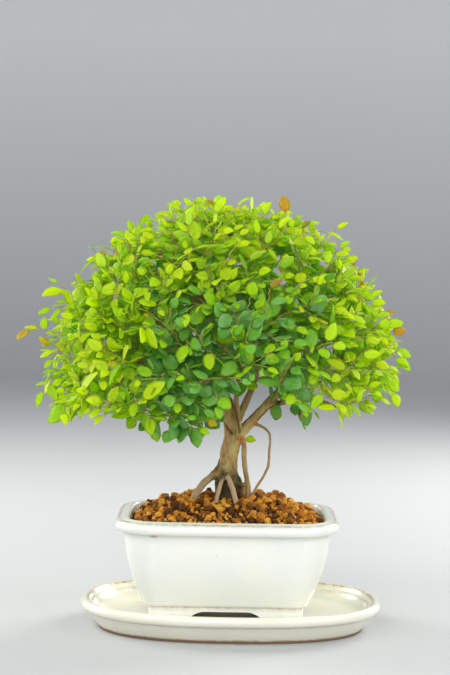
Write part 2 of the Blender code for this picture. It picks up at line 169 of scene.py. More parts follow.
def sums(tree, operation, first, second=0.0, clamp=False):
    node = addNode(tree, "Math", operation=operation)
    node.use_clamp = clamp
    feed(tree, first, node.inputs[0])
    feed(tree, second, node.inputs[1])
    return node.outputs[0]


def product(tree, first, second):
    return sums(tree, "MULTIPLY", first, second)


def ramp(tree, source, stops):
    # stops are (place, colour)
    node = tree.nodes.new("ShaderNodeValToRGB")
    ends = node.color_ramp.elements
    while len(ends) < len(stops):
        ends.new(0.5)
    for end, (place, shade) in zip(ends, stops):
        end.position = place
        end.color = (*shade, 1.0)
    tree.links.new(source, node.inputs[0])
    return node.outputs[0]


def greyRamp(tree, source, low, high, first=0.0, last=1.0):
    node = addNode(tree, "MapRange", From_Min=low, From_Max=high, To_Min=first, To_Max=last)
    tree.links.new(source, node.inputs["Value"])
    return node.outputs[0]


def mixColour(tree, share, first, second):
    node = addNode(tree, "Mix", data_type="RGBA")
    for name, value in (("Factor", share), ("A", first), ("B", second)):
        feed(tree, value, node.inputs[name])
    return node.outputs["Result"]


def setInputs(tree, node, **values):
    # each value is named after the node's own input
    for key, value in values.items():
        feed(tree, value, node.inputs[key.replace("_", " ")])


def splitPlace(tree, place):
    node = tree.nodes.new("ShaderNodeSeparateXYZ")
    tree.links.new(place, node.inputs[0])
    return node.outputs


def objectPlace(tree):
    return tree.nodes.new("ShaderNodeTexCoord").outputs["Object"]


def noiseOf(tree, place, scale, detail=4.0, roughness=0.55, distortion=0.0):
    node = addNode(tree, "TexNoise", Scale=scale, Detail=detail, Roughness=roughness,
                   Distortion=distortion)
    tree.links.new(place, node.inputs["Vector"])
    return node.outputs["Fac"]


def noiseRamp(tree, place, grain, *span):
    # grain is (scale, detail, roughness, distortion), and span as in greyRamp
    return greyRamp(tree, noiseOf(tree, place, *grain), *span)


def cellsOf(tree, place, scale):
    node = addNode(tree, "TexVoronoi", Scale=scale)
    tree.links.new(place, node.inputs["Vector"])
    return node.outputs["Distance"]


def bumpFrom(tree, height, strength, distance, below=None):
    node = addNode(tree, "Bump", Strength=strength, Distance=distance)
    tree.links.new(height, node.inputs["Height"])
    if below is not None:
        tree.links.new(below, node.inputs["Normal"])
    return node.outputs["Normal"]


def readAttribute(tree, name):
    return addNode(tree, "Attribute", attribute_name=name).outputs["Fac"]


def newGroup(name, given, made):
    # sockets with Colour in their name hold a colour, the rest a number
    group = bpy.data.node_groups.new(name, "ShaderNodeTree")
    for names, way in ((given, "INPUT"), (made, "OUTPUT")):
        for socket in names:
            kind = "NodeSocketColor" if "Colour" in socket else "NodeSocketFloat"
            group.interface.new_socket(name=socket, in_out=way, socket_type=kind)
    return group, group.nodes.new("NodeGroupInput").outputs, group.nodes.new("NodeGroupOutput").inputs


def useGroup(tree, group, **values):
    node = addNode(tree, "Group", node_tree=group)
    setInputs(tree, node, **values)
    return node


# speckled glaze with soft clouds, shared by the pot and the saucer
def makeGlazeGroup():
    group, start, end = newGroup(
        "glazeSurface", ("Light Colour", "Cloud Colour", "Break Colour", "Break", "Specks"),
        ("Colour", "Roughness", "Height"))
    place = objectPlace(group)
    clouds = noiseRamp(group, place, (26.0, 5.0), 0.35, 0.75)
    body = mixColour(group, clouds, start["Light Colour"], start["Cloud Colour"])
    # the glaze thins and breaks brown, unevenly, along sharp edges
    uneven = noiseRamp(group, place, (160.0, 4.0, 0.65), 0.30, 0.62)
    edge = sums(group, "MULTIPLY", start["Break"], uneven, clamp=True)
    broken = mixColour(group, edge, body, start["Break Colour"])
    # small iron specks, few and of unlike sizes
    ironColour = (0.10, 0.055, 0.03)
    speckShape = cellsOf(group, place, 85.0)
    rare = noiseRamp(group, place, (21.0, 2.0), 0.56, 0.70)
    near = sums(group, "LESS_THAN", speckShape, 0.055)
    speck = product(group, product(group, near, rare), start["Specks"])
    spotted = mixColour(group, speck, broken, ironColour)
    group.links.new(spotted, end["Colour"])
    ripple = noiseOf(group, place, 38.0, 3.0)
    fine = noiseOf(group, place, 420.0, 2.0)
    height = sums(group, "ADD", ripple, product(group, fine, 0.06))
    group.links.new(height, end["Height"])
    rough = greyRamp(group, clouds, 0.0, 1.0, 0.13, 0.21)
    dull = sums(group, "ADD", rough, product(group, edge, 0.25))
    group.links.new(dull, end["Roughness"])
    return group


glazeGroup = makeGlazeGroup()


# ceramics: a flat disc whose top face is extruded row by row
def smoothRows(rows, steps):
    # rows of (growth, height, brown edge, bare clay); points between them follow a spline
    keys = [np.array([*row, 0, 0][:4], float) for row in rows]
    keys = [keys[0]] + keys + [keys[-1]]
    made = []
    for a, b, c, d in zip(keys, keys[1:], keys[2:], keys[3:]):
        for i in range(steps):
            t = i / steps
            curve = 0.5 * (2 * b + (c - a) * t + (2 * a - 5 * b + 4 * c - d) * t * t
                           + (3 * b - 3 * c + d - a) * t ** 3)
            straight = b + (c - b) * t
            # some of the straight line is kept, so that close rows stay crisp
            made.append(np.append(curve[:2] * 0.7 + straight[:2] * 0.3, straight[2:]))
    made.append(keys[-2])
    return made


def throwRows(name, rows, outline):
    # outline gives the places round one row
    count = len(outline(0.0, 0.0))
    clearSelection()
    bpy.ops.mesh.primitive_circle_add(vertices=count, radius=0.05, fill_type="NGON")
    piece = nameIt(name)
    openMesh()
    bm = bmesh.from_edit_mesh(piece.data)
    edgeTone = bm.verts.layers.float.new("brownEdge")
    clayTone = bm.verts.layers.float.new("bareClay")
    for index, (grow, height, brown, clay) in enumerate(rows):
        if index:
            bpy.ops.mesh.extrude_region_move()
            bm = bmesh.from_edit_mesh(piece.data)
            edgeTone = bm.verts.layers.float["brownEdge"]
            clayTone = bm.verts.layers.float["bareClay"]
        cap = next(face for face in bm.faces if face.select)
        for vert, place in zip(cap.verts, outline(grow, max(height, 0.0))):
            vert.co = place
            vert[edgeTone] = brown
            vert[clayTone] = clay
    bmesh.update_edit_mesh(piece.data)
    closeMesh()
    return piece


def cutWith(piece, cutter):
    modify(piece, "BOOLEAN", operation="DIFFERENCE", solver="EXACT", object=cutter)
    bpy.data.objects.remove(cutter)


pot = {
    "footHalf": (0.0710, 0.0515),  # half length and depth where the body meets its foot
    "topHalf": (0.0908, 0.0690),  # the same under the rim
    "panelHalf": (0.0610, 0.0425),  # flat panels, front and side
    "bodyLow": 0.0254,
    "bodyHigh": 0.0912,
    "bellyPower": 2.0,
    "cornerPower": 1.75,
    "cornerLeast": 0.005,  # a corner never gets tighter than this
    "cornerSteps": 16,
    "panelSteps": (8, 6),  # points along half a panel, front and side
    "wall": 0.0052,
    "valleyDepth": 0.0011,  # soft groove between a panel and its corner lobe
    "valleyWidth": 0.0042,
    "valleyOut": 0.001,  # the groove lies this far past the panel's end
    "panelSwell": 0.0003,  # the panels are never quite flat
    "floorUnder": 0.0222,
    "floor": 0.0290,
    "archHalf": (0.0290, 0.0170),  # half width of the foot's arches, front and side
    "archReach": (0.09, 0.11),  # half length of the cuts that make them
    "archTop": 0.0209,
    "archFlare": 0.0040,
    "archCurve": (1.25, 0.8, 0.9),  # how flat its top is, how square its shoulders and its ends
    "drainOut": 0.036,
    "drainRadius": 0.008,
    "outsideRows": (0.0268, 0.0300, 0.0350, 0.0420, 0.0520, 0.0640, 0.0780, 0.0860),
    "insideRows": (0.0860, 0.0720, 0.0560, 0.0440, 0.0360),
    "rowSteps": 3,  # rows laid between two drawn ones
    "glaze": {"light": (0.825, 0.828, 0.755), "cloud": (0.770, 0.800, 0.770),
              "brown": (0.33, 0.17, 0.07), "clay": (0.42, 0.29, 0.18), "specks": 0.9},
    "drip": {"at": (potMid.x - 0.0635, potLow.y + 0.006, 0.0905), "size": (0.0050, 0.012, 0.0022)},
}


def potHalf(height):
    share = (height - pot["bodyLow"]) / (pot["bodyHigh"] - pot["bodyLow"])
    swell = 1 - (1 - min(max(share, 0.0), 1.0)) ** pot["bellyPower"]
    return [low + (high - low) * swell for low, high in zip(pot["footHalf"], pot["topHalf"])], swell


def grooveAt(past, outward):
    # share of the groove's depth this far past a panel's end
    return math.exp(-((past - pot["valleyOut"]) / pot["valleyWidth"]) ** 2) * outward


def potOutline(grow, height):
    # rounded rectangle: straight panels, shallow valleys, then softly lobed corners
    (halfX, halfY), swell = potHalf(height)
    halfX += grow
    halfY += grow
    panelX, panelY = [min(panel, half - pot["cornerLeast"])
                      for panel, half in zip(pot["panelHalf"], (halfX, halfY))]
    power = 2 / pot["cornerPower"]
    turns = [math.pi / 2 * i / pot["cornerSteps"] for i in range(pot["cornerSteps"] + 1)]
    corner = [(panelX + (halfX - panelX) * math.cos(turn) ** power,
               panelY + (halfY - panelY) * math.sin(turn) ** power) for turn in turns]
    frontSteps, sideSteps = pot["panelSteps"]
    side = [(halfX, panelY * i / sideSteps) for i in range(sideSteps)]
    front = [(panelX * i / frontSteps, halfY) for i in range(frontSteps - 1, -1, -1)]
    outer = swell if grow > -pot["wall"] else 0.0
    shaped = []
    for x, y in side + corner + front:
        nearFront = grooveAt(x - panelX, smoothStep(y, panelY, halfY))
        nearSide = grooveAt(y - panelY, smoothStep(x, panelX, halfX))
        swellX = pot["panelSwell"] * max(0.0, 1 - (y / panelY) ** 2) if x >= halfX else 0.0
        swellY = pot["panelSwell"] * max(0.0, 1 - (x / panelX) ** 2) if y >= halfY else 0.0
        depth = pot["valleyDepth"] * outer
        shaped.append((x - nearSide * depth + swellX * outer, y - nearFront * depth + swellY * outer))
    ring = shaped[:]
    ring += [(-x, y) for x, y in reversed(shaped[:-1])]
    ring += [(-x, -y) for x, y in shaped[1:]]
    ring += [(x, -y) for x, y in reversed(shaped[1:-1])]
    return [(potMid.x + x, potMid.y + y, height) for x, y in ring]


def archCutter(alongX):
    # long bar with a shallow curved top and flared ends, made from a disc's upper part
    clearSelection()
    bpy.ops.mesh.primitive_circle_add(vertices=64, radius=1, fill_type="NGON")
    cutter = nameIt("archCutter")
    low = potLow.z - 0.003
    foot = pot["archHalf"][alongX] + pot["archFlare"]
    reach = pot["archReach"][alongX]
    flat, shoulder, ends = pot["archCurve"]
    for vert in cutter.data.vertices:
        across, up = vert.co.x, max(vert.co.y, 0)
        high = low + (pot["archTop"] - low) * min(up * flat, 1.0) ** shoulder
        spread = foot * math.copysign(abs(across) ** ends, across)
        vert.co = (-reach, spread, high) if alongX else (spread, -reach, high)
    openMesh()
    bpy.ops.mesh.remove_doubles(threshold=sameSpot)
    step = (reach * 2, 0, 0) if alongX else (0, reach * 2, 0)
    bpy.ops.mesh.extrude_region_move(TRANSFORM_OT_translate={"value": step})
    bpy.ops.mesh.select_all(action="SELECT")
    bpy.ops.transform.translate(value=(potMid.x, potMid.y, 0))
    closeMesh()
    return cutter


def makePot():
    base = potLow.z
    rim = pot["bodyHigh"]
    wall = -pot["wall"]
    # (growth, height, brown edge, bare clay), the last two nought if left out
    rows = [
        (-0.0600, pot["floorUnder"], 0, 1), (-0.0130, pot["floorUnder"], 0, 1),
        (-0.0115, base + 0.0015, 0, 1), (-0.0106, base, 0, 1), (-0.0048, base, 0, 1),
        (-0.0039, base + 0.0008, 0, 0.9), (-0.0036, base + 0.0020, 0.4, 0.1),
        (-0.0030, 0.0200), (-0.0027, 0.0236, 0.25), (-0.0024, 0.0248, 0.75),
        (-0.0012, 0.0254, 0.30),
    ]
    rows += [(0.0, height) for height in pot["outsideRows"]]
    rows += [
        (0.0006, 0.0895), (0.0020, rim - 0.0002, 0.12),
        (0.0044, rim + 0.0003, 0.10), (0.0066, rim + 0.0014), (0.0078, rim + 0.0034),
        (0.0081, rim + 0.0056), (0.0075, rim + 0.0076),
        (0.0062, rim + 0.0091, 0.12), (0.0048, rim + 0.0099, 0.85), (0.0036, rim + 0.0103, 0.45),
        (0.0016, rim + 0.0108), (-0.0012, rim + 0.0113), (-0.0028, rim + 0.0113, 0.10),
        (-0.0041, rim + 0.0107, 0.30), (-0.0049, rim + 0.0094, 0.2),
        (wall, rim + 0.0060), (wall, rim + 0.0010),
    ]
    rows += [(wall, height) for height in pot["insideRows"]]
    rows += [(wall - 0.0016, 0.0315, 0, 0.5), (wall - 0.0060, pot["floor"], 0, 1),
             (wall - 0.0400, pot["floor"], 0, 1)]
    piece = throwRows("glazedPot", smoothRows(rows, pot["rowSteps"]), potOutline)
    for alongX in (False, True):
        cutWith(piece, archCutter(alongX))
    middle = (pot["floorUnder"] + pot["floor"]) / 2
    for way in (-1, 1):
        clearSelection()
        bpy.ops.mesh.primitive_cylinder_add(vertices=40, radius=pot["drainRadius"], depth=0.014,
                                            location=(potMid.x + way * pot["drainOut"], potMid.y, middle))
        cutWith(piece, bpy.context.object)
    smoothEdges(piece)
    return piece


saucer = {
    "half": ((trayHigh.x - trayLow.x) / 2, (trayHigh.y - trayLow.y) / 2),
    "ovalPower": 2.40,
    "points": 128,  # round the oval
    "floor": 0.0125,
    "lipTop": trayHigh.z,
    "wobble": 0.0003,  # hand pressed, never quite true
    "rowSteps": 3,
    "glaze": {"light": (0.80, 0.790, 0.660), "cloud": (0.75, 0.745, 0.630),
              "brown": (0.34, 0.19, 0.08), "clay": (0.24, 0.15, 0.09), "specks": 0.6},
}


def saucerOutline(grow, height):
    ring = []
    for i in range(saucer["points"]):
        angle = math.tau * i / saucer["points"]
        x, y = [(half + grow) * math.copysign(abs(way) ** (2 / saucer["ovalPower"]), way)
                for half, way in zip(saucer["half"], (math.cos(angle), math.sin(angle)))]
        wobble = saucer["wobble"] * math.sin(angle * 3 + height * 40)
        ring.append((trayMid.x + x * (1 + wobble), trayMid.y + y * (1 - wobble), height))
    return ring


def makeSaucer():
    top = saucer["lipTop"]
    floor = saucer["floor"]
    # (growth, height, brown edge, bare clay), the last two nought if left out
    rows = [
        (-0.0700, 0.0055, 0, 1), (-0.0360, 0.0055, 0, 1), (-0.0270, 0.0050, 0, 1),
        (-0.0245, 0.0006, 0, 1), (-0.0232, 0.0, 0, 1), (-0.0162, 0.0, 0, 1),
        (-0.0155, 0.0007, 0, 1), (-0.0150, 0.0019, 0.2, 1), (-0.0146, 0.0028, 1.0, 0.3),
        (-0.0134, 0.0042, 0.1), (-0.0100, 0.0092), (-0.0066, 0.0142),
        (-0.0052, 0.0157, 0.30), (-0.0038, 0.0163, 0.50), (-0.0022, 0.0169, 0.15),
        (-0.0006, 0.0187), (0.0, 0.0212), (-0.0006, 0.0236),
        (-0.0022, 0.0251), (-0.0042, top, 0.05), (-0.0056, 0.0253, 0.30),
        (-0.0066, 0.0246, 1.0), (-0.0076, 0.0230, 0.25), (-0.0087, 0.0210),
        (-0.0098, 0.0202, 0.15), (-0.0108, 0.0193, 0.45), (-0.0130, 0.0161),
        (-0.0170, 0.0135), (-0.0230, floor), (-0.0500, floor),
        (-0.0750, floor),
    ]
    piece = throwRows("glazedSaucer", smoothRows(rows, saucer["rowSteps"]), saucerOutline)
    smoothEdges(piece)
    return piece


def glazeMaterial(name, light, cloud, brown, clay, specks, drip=None):
    material, tree, shader = newMaterial(name)
    surface = useGroup(tree, glazeGroup, Light_Colour=light, Cloud_Colour=cloud, Break_Colour=brown,
                       Specks=specks)
    place = objectPlace(tree)
    edge = readAttribute(tree, "brownEdge")
    if drip:
        # a small brown run of glaze under the rim
        offset = addNode(tree, "Mapping")
        offset.inputs["Location"].default_value = [-a / b for a, b in zip(drip["at"], drip["size"])]
        offset.inputs["Scale"].default_value = [1 / b for b in drip["size"]]
        tree.links.new(place, offset.inputs["Vector"])
        length = addNode(tree, "VectorMath", operation="LENGTH")
        tree.links.new(offset.outputs[0], length.inputs[0])
        spot = greyRamp(tree, length.outputs["Value"], 0.35, 1.0, 0.85, 0.0)
        edge = sums(tree, "ADD", edge, spot, clamp=True)
    tree.links.new(edge, surface.inputs["Break"])
    clayMask = readAttribute(tree, "bareClay")
    ragged = sums(tree, "ADD", clayMask, noiseRamp(tree, place, (300.0, 3.0), 0.0, 1.0, -0.35, 0.35))
    bare = greyRamp(tree, ragged, 0.42, 0.58)
    grit = noiseOf(tree, place, 900.0, 4.0, 0.7)
    clayShade = mixColour(tree, greyRamp(tree, grit, 0.35, 0.7), clay, tuple(c * 0.62 for c in clay))
    glazed = bumpFrom(tree, surface.outputs["Height"], 0.25, 0.0012)
    setInputs(tree, shader, Base_Color=mixColour(tree, bare, surface.outputs["Colour"], clayShade),
              Roughness=mixColour(tree, bare, surface.outputs["Roughness"], (0.85, 0.85, 0.85)),
              Normal=bumpFrom(tree, product(tree, grit, bare), 0.5, 0.0003, glazed),
              Coat_Weight=greyRamp(tree, bare, 0.0, 1.0, 0.35, 0.0), Coat_Roughness=0.06)
    return material


potGlaze = glazeMaterial("potGlaze", drip=pot["drip"], **pot["glaze"])
trayGlaze = glazeMaterial("saucerGlaze", **saucer["glaze"])

glazedPot = finishPiece(makePot(), potGlaze, "pot_glaze", "pot")
glazedSaucer = finishPiece(makeSaucer(), trayGlaze, "saucer_glaze", "saucer")
print("ceramics done")


# wood: one grown piece, roots to limb ends
def addAttribute(piece, name, values, domain="POINT"):
    layer = piece.data.attributes.new(name, "FLOAT", domain)
    layer.data.foreach_set("value", np.asarray(values, dtype=float))


wood = {
    "voxel": 0.00095,
    "smooth": 3,
    "limit": 150000,  # most triangles
    "spread": 12,  # rounds in which the measured girth is evened out
    "fluteDepth": 0.0011,  # long ribs down the trunk
    "fluteGrain": (300, 38),  # how often they come, across and along the wood
    "lumpDepth": 0.0007,
    "lumpGrain": 120,
    "fineDepth": 0.00035,
    "fineGrain": (700, 190),
    "fullGirth": 0.014,  # thinner wood has less of all this
    "shrink": 0.0001,  # the whole skin sits this much lower
    "foldDepth": 0.0016,
    "foldWidth": 0.0012,
    "foldsAbove": 0.165,
    # deep creases on the front, as (x, z): beside the leader, at the fork, along the right limb
    "folds": (((0.023, 0.176), (0.020, 0.188), (0.014, 0.208)), ((0.008, 0.183), (0.015, 0.174)),
              ((0.039, 0.186), (0.059, 0.206))),
    "peeled": (0.023, 0.169, 0.0042),  # where the bark came off below the fork: x, z and half size
    "rootSwell": 0.00035,  # aerial roots are this much thicker
    "rootsBelow": 0.185,
    "paleBelow": 0.150,  # roots under this height can be pale
    "paleFront": (0.0125, 0.0155),  # from this far forwards, and wholly at the second
    "paleLeft": (-0.001, 0.005),  # the same to the left
    "paleElsewhere": 0.78,
    "trunkBark": {"old": (0.66, 0.500, 0.170), "fresh": (0.58, 0.210, 0.080),
                  "dark": (0.40, 0.265, 0.095), "flaking": 0.75},
    "twigBark": {"old": (0.60, 0.53, 0.13), "fresh": (0.52, 0.30, 0.09),
                 "dark": (0.30, 0.20, 0.06), "flaking": 0.45},
    "slimColour": (0.27, 0.130, 0.066),
    # colour of the painted highlight on the bark's raised ridges
    "ridgeHighlightColour": (0.74, 0.58, 0.33),
    "footColour": (0.022, 0.014, 0.008),
    "mossColour": (0.075, 0.060, 0.022),
    "rootColour": (0.56, 0.40, 0.255),
    "peeledColour": (0.60, 0.20, 0.055),
    # colour of the painted shade in the bark's creases
    "creaseShadeColour": (0.055, 0.033, 0.018),
}


def mergedCopy(node, name):
    copy = cadNodes[node].copy()
    copy.data = cadNodes[node].data.copy()
    copy.parent = None
    copy.matrix_world = Matrix.Identity(4)
    copy.hide_render = False
    copy.hide_viewport = False
    bpy.context.scene.collection.objects.link(copy)
    copy.name = name
    copy.data.name = name
    for key in list(copy.keys()):
        del copy[key]
    pickOnly(copy)
    openMesh()
    bpy.ops.mesh.remove_doubles(threshold=sameSpot)
    closeMesh()
    return copy


def foldAt(spot):
    # how deep the nearest crease is here, as a share
    deepest = 0.0
    place = Vector((spot.x, spot.z))
    for line in wood["folds"]:
        for a, b in zip(line, line[1:]):
            start, end = Vector(a), Vector(b)
            share = geometry.intersect_point_line(place, start, end)[1]
            gap = (place - start.lerp(end, min(max(share, 0.0), 1.0))).length
            deepest = max(deepest, math.exp(-(gap / wood["foldWidth"]) ** 2))
    return deepest


def spreadGirth(mesh):
    # half the wood's thickness at each point, evened out so that it has no steps
    tree = meshTree(mesh)
    girths = []
    for vert in mesh.vertices:
        hit = tree.ray_cast(vert.co - vert.normal * 0.0002, -vert.normal, 0.04)
        girths.append(hit[3] if hit[0] else 0.004)
    girths = np.clip(np.array(girths), 0.0015, 0.03)
    ends = np.empty(len(mesh.edges) * 2, dtype=int)
    mesh.edges.foreach_get("vertices", ends)
    ends = ends.reshape(-1, 2)
    for _ in range(wood["spread"]):
        total = girths.copy()
        share = np.ones(len(girths))
        np.add.at(total, ends[:, 0], girths[ends[:, 1]])
        np.add.at(total, ends[:, 1], girths[ends[:, 0]])
        np.add.at(share, ends.ravel(), 1)
        girths = total / share
    return girths


def barkNoise(spot, across, along):
    # where to read the noise for a pattern drawn out along the trunk
    return Vector((spot.x * across, spot.y * across, spot.z * along))


def barkShift(spot, normal, size):
    # how far the bark stands out here: flutes, lumps and grain, less its creases
    flute = 1 - abs(noise.noise(barkNoise(spot, *wood["fluteGrain"]))) * 2.6
    lump = noise.fractal(spot * wood["lumpGrain"], 0.8, 2.1, 3)
    fine = noise.fractal(barkNoise(spot, *wood["fineGrain"]), 0.7, 2.0, 3)
    reach = min(size / wood["fullGirth"], 1.0)
    shift = (flute * wood["fluteDepth"] * 0.5 + lump * wood["lumpDepth"] + fine * wood["fineDepth"]) * reach
    if normal.y < 0 and spot.z > wood["foldsAbove"] and size > 0.004:
        shift -= foldAt(spot) * wood["foldDepth"] * min(-normal.y * 1.6, 1.0)
    if spot.z < wood["rootsBelow"]:
        shift += wood["rootSwell"] * (1 - smoothStep(size, 0.003, 0.006))
    return shift


def rootPaleness(spot):
    # the roots at the front and the far left are pale, and the trunk's foot isn't
    if spot.z >= wood["paleBelow"]:
        return 0.0
    pale = max(smoothStep(-spot.y, *wood["paleFront"]), smoothStep(-spot.x, *wood["paleLeft"]))
    inFront = -spot.y > wood["paleFront"][0] and spot.x > 0
    return pale * (1.0 if inFront else wood["paleElsewhere"])


def makeWood():
    piece = mergedCopy("tree", "grownWood")
    modify(piece, "REMESH", mode="VOXEL", voxel_size=wood["voxel"])
    modify(piece, "SMOOTH", factor=0.5, iterations=wood["smooth"])
    mesh = piece.data
    girths = spreadGirth(mesh)
    x, z, half = wood["peeled"]
    moved, shifts, bares, roots = [], [], [], []
    for vert, size in zip(mesh.vertices, girths):
        spot = vert.co
        shift = barkShift(spot, vert.normal, size)
        bare = 1 - smoothStep(math.hypot(spot.x - x, (spot.z - z) * 0.8), half * 0.5, half)
        moved.append(spot + vert.normal * (shift - wood["shrink"]))
        shifts.append(shift * 1000)  # in millimetres
        bares.append(bare if vert.normal.y < 0.2 else 0.0)
        roots.append(rootPaleness(spot))
    mesh.vertices.foreach_set("co", np.array(moved).ravel())
    for name, values in (("girth", girths), ("hollow", shifts), ("peeled", bares), ("paleRoot", roots)):
        addAttribute(piece, name, values)
    smoothFaces(mesh)
    mesh.update()
    if len(mesh.polygons) * 2 > wood["limit"]:
        modify(piece, "DECIMATE", ratio=wood["limit"] / (len(mesh.polygons) * 2))
    print("wood faces:", len(mesh.polygons))
    return piece


# flaking bark, shared by the wood and the fine twigs
def makeBarkGroup():
    group, start, end = newGroup("flakingBark", ("Old Colour", "Fresh Colour", "Dark Colour", "Flaking"),
                                 ("Colour", "Height"))
    place = objectPlace(group)
    drawn = addNode(group, "Mapping")
    drawn.inputs["Scale"].default_value = (1.0, 1.0, 0.28)
    group.links.new(place, drawn.inputs["Vector"])
    stretched = drawn.outputs[0]
    patch = noiseRamp(group, stretched, (120.0, 5.0, 0.62, 0.6), 0.50, 0.60)
    flaked = sums(group, "MULTIPLY", patch, start["Flaking"], clamp=True)
    grain = noiseOf(group, stretched, 520.0, 6.0, 0.7, 0.4)
    tone = noiseRamp(group, stretched, (70.0, 4.0), 0.35, 0.68)
    old = mixColour(group, tone, start["Old Colour"], start["Dark Colour"])
    lined = mixColour(group, greyRamp(group, grain, 0.36, 0.52, 0.75, 0.0), old, start["Dark Colour"])
    colour = mixColour(group, flaked, lined, start["Fresh Colour"])
    group.links.new(colour, end["Colour"])
    height = sums(group, "SUBTRACT", grain, product(group, flaked, 0.35))
    group.links.new(height, end["Height"])
    return group


barkGroup = makeBarkGroup()


def weatheredWithPaintedLight(tree, colour):
    # colours over the trunk's bark: slim wood is redder and its foot darker and mossy; the raised ridges get
    # a painted highlight and the creases painted shade
    place = objectPlace(tree)
    relief = readAttribute(tree, "hollow")
    pale = readAttribute(tree, "paleRoot")
    sideways, _, upwards = splitPlace(tree, place)
    slim = greyRamp(tree, readAttribute(tree, "girth"), 0.0035, 0.0085, 0.70, 0.0)
    # lighter on the raised ridges: a painted highlight
    ridge = greyRamp(tree, relief, 0.10, 0.75, 0.0, 0.45)
    # darker and mossy at the trunk's foot below a ragged line, less on the pale roots and to the right
    ragged = noiseRamp(tree, place, (90.0, 4.0), 0.2, 0.8, -0.013, 0.013)
    darkFoot = greyRamp(tree, sums(tree, "ADD", upwards, ragged), 0.134, 0.149, 0.93, 0.0)
    darkFoot = sums(tree, "MULTIPLY", darkFoot, sums(tree, "SUBTRACT", 1.0, pale), clamp=True)
    darkFoot = product(tree, darkFoot, greyRamp(tree, sideways, 0.0235, 0.0275, 1.0, 0.15))
    moss = noiseRamp(tree, place, (140.0, 3.0), 0.42, 0.60)
    low = mixColour(tree, moss, wood["footColour"], wood["mossColour"])
    # darker in the bark's hollows and creases: painted shade
    creaseShade = greyRamp(tree, relief, -0.75, -0.10, 0.7, 0.0)
    root = product(tree, pale, 0.70)
    peeled = product(tree, readAttribute(tree, "peeled"), 0.85)
    coats = ((slim, wood["slimColour"]), (ridge, wood["ridgeHighlightColour"]), (root, wood["rootColour"]),
             (darkFoot, low), (peeled, wood["peeledColour"]), (creaseShade, wood["creaseShadeColour"]))
    for share, over in coats:
        colour = mixColour(tree, share, colour, over)
    return colour


def barkMaterial(name, old, fresh, dark, flaking, colouring=None):
    material, tree, shader = newMaterial(name)
    bark = useGroup(tree, barkGroup, Old_Colour=old, Fresh_Colour=fresh, Dark_Colour=dark, Flaking=flaking)
    colour = bark.outputs["Colour"]
    if colouring:
        colour = colouring(tree, colour)
    setInputs(tree, shader, Base_Color=colour, Roughness=0.72, Specular_IOR_Level=0.25,
              Normal=bumpFrom(tree, bark.outputs["Height"], 0.75, 0.0010))
    return material


trunkBark = barkMaterial("trunkBark", **wood["trunkBark"], colouring=weatheredWithPaintedLight)
twigBark = barkMaterial("twigBark", **wood["twigBark"])

grownWood = finishPiece(makeWood(), trunkBark, "bark", "tree")
woodTree = meshTree(grownWood.data)
print("wood done")


# porous grains on the soil
grains = {
    "smallest": 0.0046,
    "largest": 0.0104,
    "kinds": 7,
    "count": 1500,  # wanted in the bed; about 800 find room
    "upper": 240,  # loose ones lying on the rest
    "tries": 40,  # places tried for each one wanted
    "cell": 0.008,  # neighbours are looked for in squares of this side
    "sink": 0.0055,  # the dark bed, soil deepened into painted shade for the gaps between grains, lies this much below the soil's own top
    "edgeDrop": 0.003,  # the bed sinks from this far under the pot's rim upwards
    # each layer's lift and its squeeze, as shares of a grain's size
    "bed": (0.10, 0.35),
    "loose": (0.50, 0.31),
    "fromWood": 0.36,
    "fromPot": 0.42,
    "flats": 9,  # cut faces on a grain
    "flatAt": (0.20, 0.36),
    "flatness": 0.97,
    "stretch": ((0.9, 1.2), (0.8, 1.0), (0.7, 0.95)),
    "lump": 0.42,
    "sizeBias": 1.2,  # above one, there are more small grains
    "steepest": 0.25,  # none lie where the soil is steeper: the upward part of its normal
    "colours": ((0.0, (0.060, 0.020, 0.004)), (0.32, (0.34, 0.120, 0.012)),
                (0.68, (0.66, 0.250, 0.020)), (1.0, (0.80, 0.40, 0.060))),
    "greenColour": (0.13, 0.11, 0.03),
    "poreColour": (0.05, 0.018, 0.007),
    # the bed's colours: dark soil, deepened into painted shade between the grains
    "crumbs": ((0.0, (0.075, 0.026, 0.009)), (0.7, (0.018, 0.009, 0.005))),
}


def grainShape(index):
    chance = random.Random(100 + index)
    clearSelection()
    bpy.ops.mesh.primitive_ico_sphere_add(subdivisions=2, radius=0.5)
    stone = nameIt("grainShape")
    flats = [(Vector([chance.uniform(-1, 1) for axis in range(3)]).normalized(),
              chance.uniform(*grains["flatAt"])) for flat in range(grains["flats"])]
    stretch = Vector([chance.uniform(*span) for span in grains["stretch"]])
    for vert in stone.data.vertices:
        spot = vert.co * (1 + grains["lump"] * noise.noise(vert.co * 2.6 + Vector((index * 7.1, 0, 0))))
        for normal, reach in flats:
            over = spot.dot(normal) - reach
            if over > 0:
                spot = spot - normal * over * grains["flatness"]
        vert.co = Vector([a * b for a, b in zip(spot, stretch)])
    shape = meshArrays(stone.data)
    bpy.data.objects.remove(stone)
    return shape


def meshPlaces(mesh):
    places = np.empty(len(mesh.vertices) * 3)
    mesh.vertices.foreach_get("co", places)
    return places.reshape(-1, 3)


def meshArrays(mesh):
    mesh.calc_loop_triangles()
    corners = np.empty(len(mesh.loop_triangles) * 3, dtype=int)
    mesh.loop_triangles.foreach_get("vertices", corners)
    return meshPlaces(mesh), corners.reshape(-1, 3)


def readValues(mesh, name):
    values = np.empty(len(mesh.vertices))
    mesh.attributes[name].data.foreach_get("value", values)
    return values


